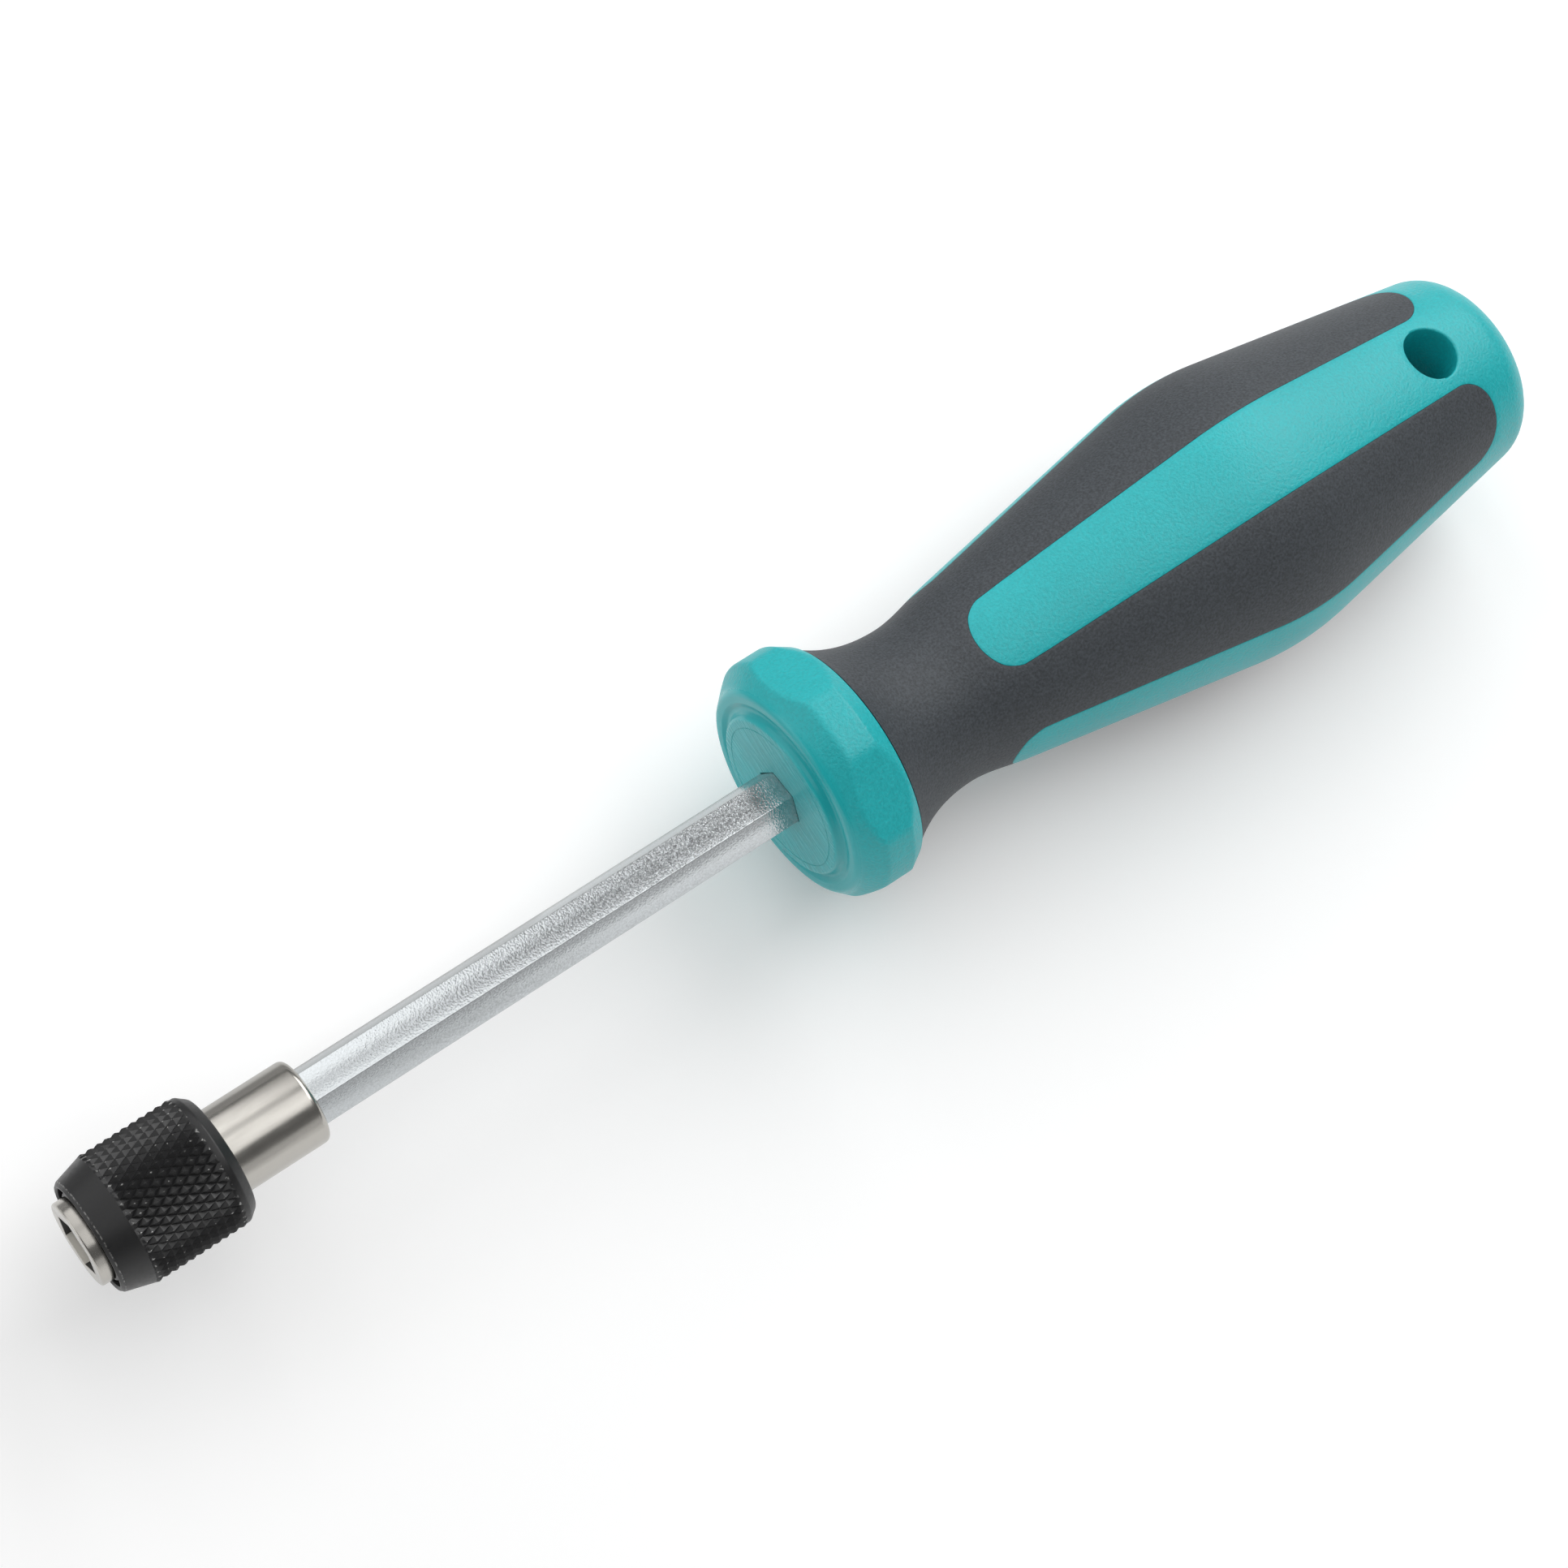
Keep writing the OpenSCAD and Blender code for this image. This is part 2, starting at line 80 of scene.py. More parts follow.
def linear(hex_colour):
    """An sRGB hex colour as linear red, green and blue."""
    parts = [int(hex_colour[i : i + 2], 16) / 255 for i in (0, 2, 4)]
    return tuple(c / 12.92 if c <= 0.04045 else ((c + 0.055) / 1.055) ** 2.4 for c in parts)


def length(name, description, millimetres):
    """A length property with its default given in millimetres."""
    return FloatProperty(
        name=name, description=description, default=millimetres * MM, min=0, unit="LENGTH", precision=5
    )


def colour(name, description, hex_colour):
    """A colour property with its default given as an sRGB hex value."""
    return FloatVectorProperty(
        name=name, description=description, default=linear(hex_colour), min=0, max=1, subtype="COLOR"
    )


def angle(name, description, degrees):
    """An angle property with its default given in degrees."""
    return FloatProperty(
        name=name, description=description, default=math.radians(degrees), subtype="ANGLE"
    )


def amount(name, description, value):
    """A plain number property that can't fall below 0."""
    return FloatProperty(name=name, description=description, default=value, min=0)


class BolsterSizes(bpy.types.PropertyGroup):
    """Sizes of the faceted bolster at the front of the handle"""

    land_r: length("Land radius", "Radius over the rounded lands", 15.6)
    flats: IntProperty(name="Flats", description="Number of flats round the bolster", default=5, min=3)
    flat_r: length("Flat distance", "Distance of the flats from the axis", 14.64)
    edge: length("Edge softness", "Depth over which the edges of the flats are rounded", 0.25)
    boss_r: length("Boss radius", "Radius of the boss round the shaft", 10.25)
    mark_r: length("Witness line", "Radius of the fine line on the boss", 9.1)
    ring_r: length("Ring radius", "Radius of the edge of the ring round the boss", 13.05)
    ring: length("Ring place", "Distance of that edge from the front face", 0.68)
    cone: length("Cone end", "Where the cone meets the lands, behind the front face", 3.5)
    land: length("Land length", "Length of the rounded lands", 3.8)
    rim_r: length("Rim radius", "Radius of the rear rim", 14.4)
    rim: length("Rim place", "Distance of the rim from the front face", 9.3)


class HandleSizes(bpy.types.PropertyGroup):
    """Sizes of the grip zone, the stripes and the butt"""

    flare_r: length("Flare radius", "Radius of the grip where it meets the bolster", 14.15)
    flare_slope: amount("Flare slope", "Fall of the flare behind the bolster", 0.754)
    neck_r: length("Neck radius", "Least radius of the neck", 10.4)
    neck: length("Neck place", "Distance of the neck from the front face", 20.8)
    shoulder_r: length("Shoulder radius", "Radius where the stripes begin", 11.9)
    shoulder: length("Shoulder place", "Distance of the shoulder from the front face", 29.3)
    belly_r: length("Belly radius", "Radius over the belly", 17.93)
    belly: length("Belly place", "Distance of the belly from the front face", 67.2)
    belly_run: length("Belly rounding", "Length of the rounding over the belly", 12.6)
    tail_r: length("Tail radius", "Radius where the butt starts to round", 12.6)
    tail: length("Tail place", "Distance of the tail from the end of the butt", 4.5)
    butt_flat_r: length("Butt flat", "Radius of the flat in the middle of the butt", 3.5)
    butt_drop: length("Butt crown", "How far the butt's edge lies in front of that flat", 1.6)
    butt_round: length("Butt rounding", "Rounding of the edge of the butt", 6)
    dome_round: length("Dome rounding", "Rounding of the edge of that flat", 12)
    stripe: length("Stripe start", "Distance of the stripes from the front face", 26.1)
    stripe_front: length("Stripe front", "Half the width of a stripe at its front", 4.68)
    stripe_belly: length("Stripe middle", "Half the width of a stripe over the belly", 5.95)
    stripe_rear: length("Stripe rear", "Half the width of a stripe at the panels' ends", 5.05)
    stripe_ease: length("Stripe easing", "Softness of the widest place of a stripe", 0.4)
    stripe_bow: length("Stripe bow", "Radius of the arc at the front of a stripe", 5.6)
    stripe_round: length("Stripe corner", "Corner rounding at the front of a stripe", 1.5)
    panel: length("Panel end", "Distance of the panels' ends from the end of the butt", 8.6)
    panel_round: length("Panel corner", "Rounding of the rear ends of the panels", 4.1)
    grip: length("Grip thickness", "Thickness of the soft grip", 2)
    gap: length("Bolster seam", "Gap between the bolster and the soft grip", 0.22)
    seam: length("Seam rounding", "Rounding of the two edges that meet at a seam", 0.1)
    hole_r: length("Hole radius", "Radius of the hanging hole", 3.5)
    hole: length("Hole place", "Distance of the hole from the end of the butt", 13.4)
    hole_round: length("Hole rounding", "Rounding of the rim of the hole", 0.35)


class HolderSizes(bpy.types.PropertyGroup):
    """Sizes of the shaft, the bit holder and the release sleeve"""

    shaft_flats: length("Shaft width", "Width of the shaft across its flats", 6.35)
    shaft_turn: angle("Shaft turn", "Roll of the shaft", -6)
    shaft_edge: length("Shaft edge", "Rounding of the long edges of the shaft", 0.15)
    shaft_gap: length("Shaft seam", "Gap round the shaft where it enters the handle", 0.07)
    socket_flats: length("Socket width", "Width of the bit socket across its flats", 6.4)
    socket_turn: angle("Socket turn", "Roll of the socket", 7)
    socket: length("Socket depth", "Depth of the bit socket", 19)
    mouth: length("Mouth edge", "Rounding of the edge of the socket's mouth", 0.06)
    knurl_r: length("Knurl radius", "Radius over the points of the knurl", 7.9)
    knurl_depth: length("Knurl depth", "Depth of the knurl's grooves", 0.45)
    knurl_starts: IntProperty(name="Knurl starts", description="Grooves of each hand", default=41, min=8)
    knurl_rows: IntProperty(name="Knurl rows", description="Rows of points along the knurl", default=10, min=2)
    knurl_end: length("Knurl run-out", "Length over which the grooves run out at both ends", 0.45)
    cone: length("Sleeve cone", "Length of the smooth cone in front of the knurl", 3.5)
    tail: length("Sleeve tail", "Length of the rounded end behind the knurl", 1.7)


class Finishes(bpy.types.PropertyGroup):
    """Colours of the materials"""

    teal: colour("Hard plastic", "Colour of the hard plastic", "1BB0B5")
    charcoal: colour("Soft grip", "Colour of the soft grip", "3C4146")
    zinc: colour("Zinc", "Colour of the zinc plating", "BEC2C4")
    nickel: colour("Nickel", "Colour of the nickel plating", "B9B6B0")
    black: colour("Black steel", "Colour of the blackened steel", "1B1B1C")
    floor: colour("Floor", "Colour of the floor", "F6F6F6")


class StageSizes(bpy.types.PropertyGroup):
    """Camera, floor and lights"""

    lens: FloatProperty(name="Lens", description="Focal length of the camera", default=82, unit="CAMERA")
    distance: length("Distance", "Distance of the camera from the point it frames", 407.7)
    tilt: angle("Tilt", "Tilt of the tool towards the camera", 20.15)
    roll: angle("Side", "Roll of the side that faces the camera", 12.4)
    rise: angle("Rise", "Rise of the tool in the picture", 32.48)
    centre: length("Framed place", "Place along the tool that lies in the middle of the picture", 94.5)
    above: length("Framed side", "How far that place lies above the tool's axis in the picture", 1)
    sky: amount("Sky", "Strength of the light from all round", 0.15)
    tip_light: amount("Tip light", "Brightness of the panels over the tip", 1.75)
    gap_light: amount("Gap light", "Brightness between those panels", 0.14)
    butt_light: amount("Butt light", "Brightness of the panel over the butt", 2.9)
    reflector: amount("Reflectors", "Brightness of the low reflectors", 0.7)
    lift: amount("Floor white", "White added to the floor as a background", 0.16)


def size(group):
    """The settings of one group."""
    return getattr(bpy.context.scene, "screwdriver_" + group)


# Outlines are lists of (place along the tool, radius)


def rounded(path, steps=6):
    """An outline through points (place, radius, rounding), with its corners rounded."""
    points = []
    for i, (x, r, fillet) in enumerate(path):
        at = Vector((x, r))
        if fillet == 0:
            points.append(at)
            continue
        before = Vector(path[i - 1][:2]) - at
        after = Vector(path[i + 1][:2]) - at
        half = before.angle(after) / 2
        run = min(fillet / math.tan(half), before.length / 2, after.length / 2)
        start, end = at + before.normalized() * run, at + after.normalized() * run
        middle = at + (before.normalized() + after.normalized()).normalized() * run / math.cos(half)
        sweep = (start - middle).angle_signed(end - middle)
        for step in range(steps + 1):
            spoke = start - middle
            spoke.rotate(Matrix.Rotation(-sweep * step / steps, 2))
            points.append(middle + spoke)
    return [tuple(p) for p in points]


def dense(outline, step, above):
    """The outline with more points where its radius is above a limit, so that none lie further apart."""
    points = [outline[0]]
    for (x0, r0), (x1, r1) in zip(outline, outline[1:]):
        gap = math.hypot(x1 - x0, r1 - r0)
        parts = max(1, math.ceil(gap / step)) if min(r0, r1) > above - step else 1
        points += [(x0 + (x1 - x0) * i / parts, r0 + (r1 - r0) * i / parts) for i in range(1, parts + 1)]
    return points


def soft_least(a, b, blend):
    """The lesser of two lengths, eased where they are closer than a blend."""
    near = max(blend - abs(a - b), 0) / blend
    return min(a, b) - near * near * blend / 4


def eased(start, start_slope, end, end_slope, x):
    """Radius at x on the smooth curve between two (place, radius) points with given slopes."""
    run = end[0] - start[0]
    t = (x - start[0]) / run
    s = 1 - t
    first = start[1] + run * start_slope / 3
    last = end[1] - run * end_slope / 3
    return s**3 * start[1] + 3 * s * s * t * first + 3 * s * t * t * last + t**3 * end[1]


# Modelling steps that several pieces share


def added(name):
    """Names the primitive just added and puts its place into its mesh."""
    piece = bpy.context.object
    piece.name = piece.data.name = name
    bpy.ops.object.transform_apply(location=True, rotation=True, scale=True)
    return piece


def only(piece):
    """Selects a piece alone."""
    bpy.ops.object.select_all(action="DESELECT")
    bpy.context.view_layer.objects.active = piece
    piece.select_set(True)


def edit(piece):
    """Opens a piece alone for editing, with all of it selected."""
    only(piece)
    bpy.ops.object.mode_set(mode="EDIT")
    bpy.ops.mesh.select_mode(type="VERT")
    bpy.ops.mesh.select_all(action="SELECT")


def done():
    """Closes the piece being edited."""
    bpy.ops.object.mode_set(mode="OBJECT")


def face_out():
    """Turns all faces of the piece being edited outwards and closes it."""
    bpy.ops.mesh.select_all(action="SELECT")
    bpy.ops.mesh.normals_make_consistent(inside=False)
    done()


def select(piece, kind, test):
    """Selects the vertices, edges or faces of the piece being edited that pass a test."""
    bpy.ops.mesh.select_mode(type=kind)
    bpy.ops.mesh.select_all(action="DESELECT")
    mesh = bmesh.from_edit_mesh(piece.data)
    for item in {"VERT": mesh.verts, "EDGE": mesh.edges, "FACE": mesh.faces}[kind]:
        if test(item):
            item.select_set(True)
    mesh.select_flush_mode()
    bmesh.update_edit_mesh(piece.data)


def turn(name, outline, steps):
    """A turned piece: an outline drawn point by point from one vertex, spun round the tool."""
    bpy.ops.object.select_all(action="DESELECT")
    bpy.ops.mesh.primitive_plane_add(size=MM, location=(outline[0][0], 0, outline[0][1]))
    piece = added(name)
    edit(piece)
    bpy.ops.mesh.merge(type="CENTER")
    for (x0, r0), (x1, r1) in zip(outline, outline[1:]):
        bpy.ops.mesh.extrude_vertices_move(TRANSFORM_OT_translate={"value": (x1 - x0, 0, r1 - r0)})
    bpy.ops.mesh.select_all(action="SELECT")
    bpy.ops.mesh.spin(steps=steps, angle=2 * math.pi, center=(0, 0, 0), axis=(1, 0, 0))
    bpy.ops.mesh.select_all(action="SELECT")
    bpy.ops.mesh.remove_doubles(threshold=MERGE)
    face_out()
    return piece


def bar(name, sides, radius, start, end, roll):
    """A bar along the tool with a flat facing up, turned by a roll."""
    bpy.ops.object.select_all(action="DESELECT")
    bpy.ops.mesh.primitive_cylinder_add(vertices=sides, radius=radius, depth=end - start)
    bpy.context.object.matrix_world = (
        Matrix.Translation(((start + end) / 2, 0, 0))
        @ Matrix.Rotation(roll, 4, "X")
        @ Matrix.Rotation(math.pi / 2, 4, "Y")
    )
    return added(name)


def combine(piece, tool, operation):
    """Cuts a tool out of a piece or joins it on, and removes the tool."""
    only(piece)
    cut = piece.modifiers.new(operation.lower(), "BOOLEAN")
    cut.operation = operation
    cut.solver = "EXACT"
    cut.object = tool
    bpy.ops.object.modifier_apply(modifier=cut.name)
    bpy.data.objects.remove(tool)


def smooth(piece, degrees):
    """Smooth shading, with a crisp line at edges sharper than this."""
    only(piece)
    bpy.ops.object.shade_smooth_by_angle(angle=math.radians(degrees))


def dress(piece, material, body, slot, *nodes):
    """Gives a finished piece its material and body, and hides the nodes it stands for. Its slot is not used."""
    piece.data.materials.clear()
    piece.data.materials.append(material)
    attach(piece, body)
    if nodes:
        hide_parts(*nodes)


def roll_of(point):
    """Roll of a point about the tool, in degrees from 0 to 360."""
    return math.degrees(math.atan2(-point.y, point.z)) % 360


def off_axis(point):
    """Distance of a point from the axis of the tool."""
    return math.hypot(point.y, point.z)


def draw_to(vertex, radius):
    """Moves a vertex straight out or in to a distance from the axis."""
    scale = radius / off_axis(vertex.co)
    vertex.co.y *= scale
    vertex.co.z *= scale


def sharpness(edge):
    """Angle between the two faces at an edge, in degrees."""
    return math.degrees(edge.calc_face_angle(0))


# Materials


def feed(tree, made, inputs):
    """Sets a node's inputs, each to a value, to another node's socket or to a node's first socket."""
    for name, value in inputs.items():
        if isinstance(value, bpy.types.Node):
            value = value.outputs[0]
        if isinstance(value, bpy.types.NodeSocket):
            tree.links.new(value, made.inputs[name])
        else:
            made.inputs[name].default_value = value


def node(tree, kind, inputs, **settings):
    """Adds a node with its inputs and settings."""
    made = tree.nodes.new("ShaderNode" + kind)
    for name, value in settings.items():
        setattr(made, name, value)
    feed(tree, made, inputs)
    return made


WHITE = (1, 1, 1, 1)
# The values that most of a noise texture lies between, and a range that falls from 1 to 0
NOISE = {"From Min": 0.3, "From Max": 0.7}
FALLING = {"To Min": 1, "To Max": 0}


def new_material(name):
    """An empty material, with its node tree, its shader and the place on the piece."""
    made = bpy.data.materials.new(name)
    made.use_nodes = True
    tree = made.node_tree
    tree.nodes.clear()
    shader = node(tree, "BsdfPrincipled", {})
    node(tree, "OutputMaterial", {"Surface": shader})
    place = node(tree, "TexCoord", {}).outputs["Object"]
    return made, tree, shader, place


def grain(millimetres):
    """Noise scale at which one grain is this wide."""
    return 1 / (millimetres * MM)


def moulded_polypropylene():
    # Injection-moulded polypropylene from a spark-eroded tool: satin, with a fine leathery grain. The front
    # face and its ring come from a polished insert, so they are glossier and smooth, with grinding streaks on
    # the face. Grain of 0.1 mm is drawn 0.35 mm wide, so that it shows
    made, tree, shader, place = new_material("moulded_polypropylene")
    base = (*size("finishes").teal, 1)
    cloud = node(tree, "TexNoise", {"Vector": place, "Scale": grain(14), "Detail": 3})
    fine = node(tree, "TexNoise", {"Vector": place, "Scale": grain(0.35), "Detail": 2, "Roughness": 0.6})
    turned = node(tree, "VectorRotate", {"Vector": place, "Angle": math.radians(-12)}, rotation_type="X_AXIS")
    drawn = node(tree, "VectorMath", {0: turned, 1: (1, 0.05, 1)}, operation="MULTIPLY")
    streak = node(tree, "TexNoise", {"Vector": drawn, "Scale": grain(0.18), "Detail": 1})
    along = node(tree, "SeparateXYZ", {"Vector": place})
    front = node(tree, "MapRange", {"Value": along, "From Min": FRONT_FACE + 0.02 * MM,
                                    "From Max": FRONT_FACE + 0.1 * MM, **FALLING})
    insert = node(tree, "MapRange", {"Value": along, "From Min": FRONT_FACE + 1.1 * MM,
                                     "From Max": FRONT_FACE + 1.7 * MM, **FALLING})
    plain = node(tree, "Mix", {0: insert, 2: fine, 3: 0.5})
    relief = node(tree, "Mix", {0: front, 2: plain, 3: streak})
    tone = node(tree, "MapRange", {"Value": cloud, **NOISE, "To Min": 0.96, "To Max": 1.04})
    speck = node(tree, "MapRange", {"Value": relief, **NOISE, "To Min": 0.9, "To Max": 1.1})
    both = node(tree, "Math", {0: tone, 1: speck}, operation="MULTIPLY")
    tint = node(tree, "Mix", {0: 1.0, 6: base, 7: both}, data_type="RGBA", blend_type="MULTIPLY")
    shine = node(tree, "MapRange", {"Value": relief, **NOISE, "To Min": 0.32, "To Max": 0.46})
    rough = node(tree, "Math", {0: insert, 1: -0.14, 2: shine}, operation="MULTIPLY_ADD")
    depth = node(tree, "MapRange", {"Value": insert, "To Min": 1, "To Max": 0.1})
    bump = node(tree, "Bump", {"Strength": depth, "Distance": 0.08 * MM, "Height": relief})
    feed(tree, shader, {"Base Color": tint.outputs[2], "Roughness": rough, "Normal": bump})
    return made


def moulded_elastomer():
    # Thermoplastic elastomer over the core, from a sandblasted tool: matt, with small bright specks. Grain of
    # 0.1 mm is drawn 0.3 mm wide, so that it shows
    made, tree, shader, place = new_material("moulded_elastomer")
    base = (*size("finishes").charcoal, 1)
    fine = node(tree, "TexNoise", {"Vector": place, "Scale": grain(0.3), "Detail": 1, "Roughness": 0.6})
    tone = node(tree, "MapRange", {"Value": fine, "From Min": 0.3, "From Max": 0.72, "To Min": 0.68,
                                   "To Max": 1.36})
    tint = node(tree, "Mix", {0: 1.0, 6: base, 7: tone}, data_type="RGBA", blend_type="MULTIPLY")
    bump = node(tree, "Bump", {"Strength": 1, "Distance": 0.06 * MM, "Height": fine})
    feed(tree, shader, {"Base Color": tint.outputs[2], "Roughness": 0.58, "Normal": bump})
    return made


def zinc_plated_steel():
    # Drawn steel bar, bright zinc plated: clear reflections broken up by fine sparkling crystals, which are
    # rubbed smoother near the bit holder. Crystals of 0.05 mm are drawn 0.25 mm wide, so that they show
    made, tree, shader, place = new_material("zinc_plated_drawn_steel")
    base = (*size("finishes").zinc, 1)
    fine = node(tree, "TexNoise", {"Vector": place, "Scale": grain(0.25), "Detail": 1, "Roughness": 0.6})
    along = node(tree, "SeparateXYZ", {"Vector": place})
    rubbed = node(tree, "MapRange", {"Value": along, "From Min": 32 * MM, "From Max": 50 * MM,
                                     "To Min": 0.7, "To Max": 1})
    tone = node(tree, "MapRange", {"Value": fine, **NOISE, "To Min": 0.87, "To Max": 1.13})
    speck = node(tree, "Mix", {0: rubbed, 2: 1.0, 3: tone})
    tint = node(tree, "Mix", {0: 1.0, 6: base, 7: speck}, data_type="RGBA", blend_type="MULTIPLY")
    shine = node(tree, "MapRange", {"Value": fine, **NOISE, "To Min": 0.14, "To Max": 0.24})
    bump = node(tree, "Bump", {"Strength": rubbed, "Distance": 0.024 * MM, "Height": fine})
    feed(tree, shader, {"Base Color": tint.outputs[2], "Metallic": 1, "Roughness": shine, "Normal": bump})
    return made


def nickel_plated_steel(socket_r):
    # Turned steel, nickel plated: warm satin metal with soft reflections, and a faint mottle 0.7 mm wide that
    # runs along the tool. The broached socket is dull, with painted light on its upper and lower walls and
    # painted shade on its side walls, chosen by the way each wall faces
    made, tree, shader, place = new_material("nickel_plated_turned_steel")
    base = (*size("finishes").nickel, 1)
    drawn = node(tree, "VectorMath", {0: place, 1: (0.2, 1, 1)}, operation="MULTIPLY")
    fine = node(tree, "TexNoise", {"Vector": drawn, "Scale": grain(0.7), "Detail": 2})
    shine = node(tree, "MapRange", {"Value": fine, **NOISE, "To Min": 0.2, "To Max": 0.27})
    across = node(tree, "VectorMath", {0: place, 1: (0, 1, 1)}, operation="MULTIPLY")
    out = node(tree, "VectorMath", {0: across}, operation="LENGTH")
    near = node(tree, "MapRange", {"Value": out.outputs["Value"], "From Min": socket_r,
                                   "From Max": socket_r + 0.1 * MM, **FALLING})
    along = node(tree, "SeparateXYZ", {"Vector": place})
    deep = node(tree, "MapRange", {"Value": along, "From Min": 0.03 * MM, "From Max": 0.09 * MM})
    inside = node(tree, "Math", {0: near, 1: deep}, operation="MULTIPLY")
    plated = node(tree, "Math", {0: 1.0, 1: inside}, operation="SUBTRACT")
    rough = node(tree, "Mix", {0: inside, 2: shine, 3: 0.6})
    # Painted light on the socket's upper and lower walls and painted shade on its side walls, by wall direction
    facing = node(tree, "SeparateXYZ", {"Vector": place.node.outputs["Normal"]})
    sideways = node(tree, "Math", {0: facing.outputs["Y"]}, operation="ABSOLUTE")
    painted_shade_share = node(tree, "MapRange", {"Value": sideways, "From Min": 0.5, "From Max": 0.6})
    wall = node(tree, "Mix", {0: painted_shade_share, 6: (*linear("E2DED4"), 1), 7: (*linear("242220"), 1)}, data_type="RGBA")
    tint = node(tree, "Mix", {0: inside, 6: base, 7: wall.outputs[2]}, data_type="RGBA")
    bump = node(tree, "Bump", {"Strength": 1, "Distance": 0.003 * MM, "Height": fine})
    feed(tree, shader, {"Base Color": tint.outputs[2], "Metallic": plated, "Roughness": rough, "Normal": bump})
    return made


def blackened_steel(worn_r=None):
    # Steel with a black oxide finish: near black with a soft oily sheen in patches 0.5 mm wide, and bright
    # where its edges are worn
    made, tree, shader, place = new_material("black_oxide_steel")
    base = (*size("finishes").black, 1)
    fine = node(tree, "TexNoise", {"Vector": place, "Scale": grain(0.5), "Detail": 4, "Roughness": 0.6})
    shine = node(tree, "MapRange", {"Value": fine, **NOISE, "To Min": 0.34, "To Max": 0.46})
    bump = node(tree, "Bump", {"Strength": 0.3, "Distance": 0.03 * MM, "Height": fine})
    feed(tree, shader, {"Base Color": base, "Roughness": shine, "Normal": bump})
    if worn_r:
        along = node(tree, "SeparateXYZ", {"Vector": place})
        across = node(tree, "VectorMath", {0: place, 1: (0, 1, 1)}, operation="MULTIPLY")
        out = node(tree, "VectorMath", {0: across}, operation="LENGTH")
        spots = node(tree, "TexNoise", {"Vector": place, "Scale": grain(0.4), "Detail": 2})
        # The points of the knurl, most of all near its two ends. Its middle lies behind the sleeve's own
        middle = (SLEEVE_LOW.x + SLEEVE_HIGH.x) / 2 + 1 * MM
        away = node(tree, "Math", {0: along, 1: middle}, operation="SUBTRACT")
        away = node(tree, "Math", {0: away}, operation="ABSOLUTE")
        ends = node(tree, "MapRange", {"Value": away, "From Min": 3.4 * MM, "From Max": 4.4 * MM,
                                       "To Min": 0, "To Max": 0.12})
        rubbed = node(tree, "Math", {0: spots, 1: ends}, operation="ADD")
        rubbed = node(tree, "MapRange", {"Value": rubbed, "From Min": 0.6, "From Max": 0.68,
                                         "To Min": 0, "To Max": 0.8})
        high = node(tree, "MapRange", {"Value": out.outputs["Value"], "From Min": worn_r - 0.08 * MM,
                                       "From Max": worn_r - 0.02 * MM})
        teeth = node(tree, "Math", {0: high, 1: rubbed}, operation="MULTIPLY")
        # A broken line on the edge at the front
        away = node(tree, "Math", {0: along, 1: SLEEVE_LOW.x + LIP}, operation="SUBTRACT")
        away = node(tree, "Math", {0: away}, operation="ABSOLUTE")
        line = node(tree, "MapRange", {"Value": away, "From Min": 0.03 * MM, "From Max": 0.09 * MM, **FALLING})
        outer = node(tree, "MapRange", {"Value": out.outputs["Value"], "From Min": 6.6 * MM,
                                        "From Max": 6.65 * MM})
        line = node(tree, "Math", {0: line, 1: outer}, operation="MULTIPLY")
        broken = node(tree, "MapRange", {"Value": spots, "From Min": 0.42, "From Max": 0.62,
                                         "To Min": 0, "To Max": 0.5})
        lip = node(tree, "Math", {0: line, 1: broken}, operation="MULTIPLY")
        worn = node(tree, "Math", {0: teeth, 1: lip}, operation="MAXIMUM")
        tint = node(tree, "Mix", {0: worn, 6: base, 7: (*linear("B4B4B2"), 1)}, data_type="RGBA")
        feed(tree, shader, {"Base Color": tint.outputs[2], "Metallic": worn})
    return made


def bright_steel(name, hex_colour, rough):
    # Hardened steel, drawn or ground: plain bright metal with a faint grain 0.3 mm wide
    made, tree, shader, place = new_material(name)
    fine = node(tree, "TexNoise", {"Vector": place, "Scale": grain(0.3), "Detail": 3})
    shine = node(tree, "MapRange", {"Value": fine, **NOISE, "To Min": rough, "To Max": rough + 0.12})
    feed(tree, shader, {"Base Color": (*linear(hex_colour), 1), "Metallic": 1, "Roughness": shine})
    return made


# Handle


def seam_warp(p, q, fade):
    """Pulls a square's corner in to a quarter circle. p and q are 1 on the square's sides."""
    most = max(p, q)
    if p <= 0 or q <= 0 or most >= 1 + fade:
        return p, q
    inside = max(most, 1)
    a, b = p / inside, q / inside
    share = 1 - (inside - 1) / fade
    return p + a * (math.sqrt(1 - b * b / 2) - 1) * share, q + b * (math.sqrt(1 - a * a / 2) - 1) * share


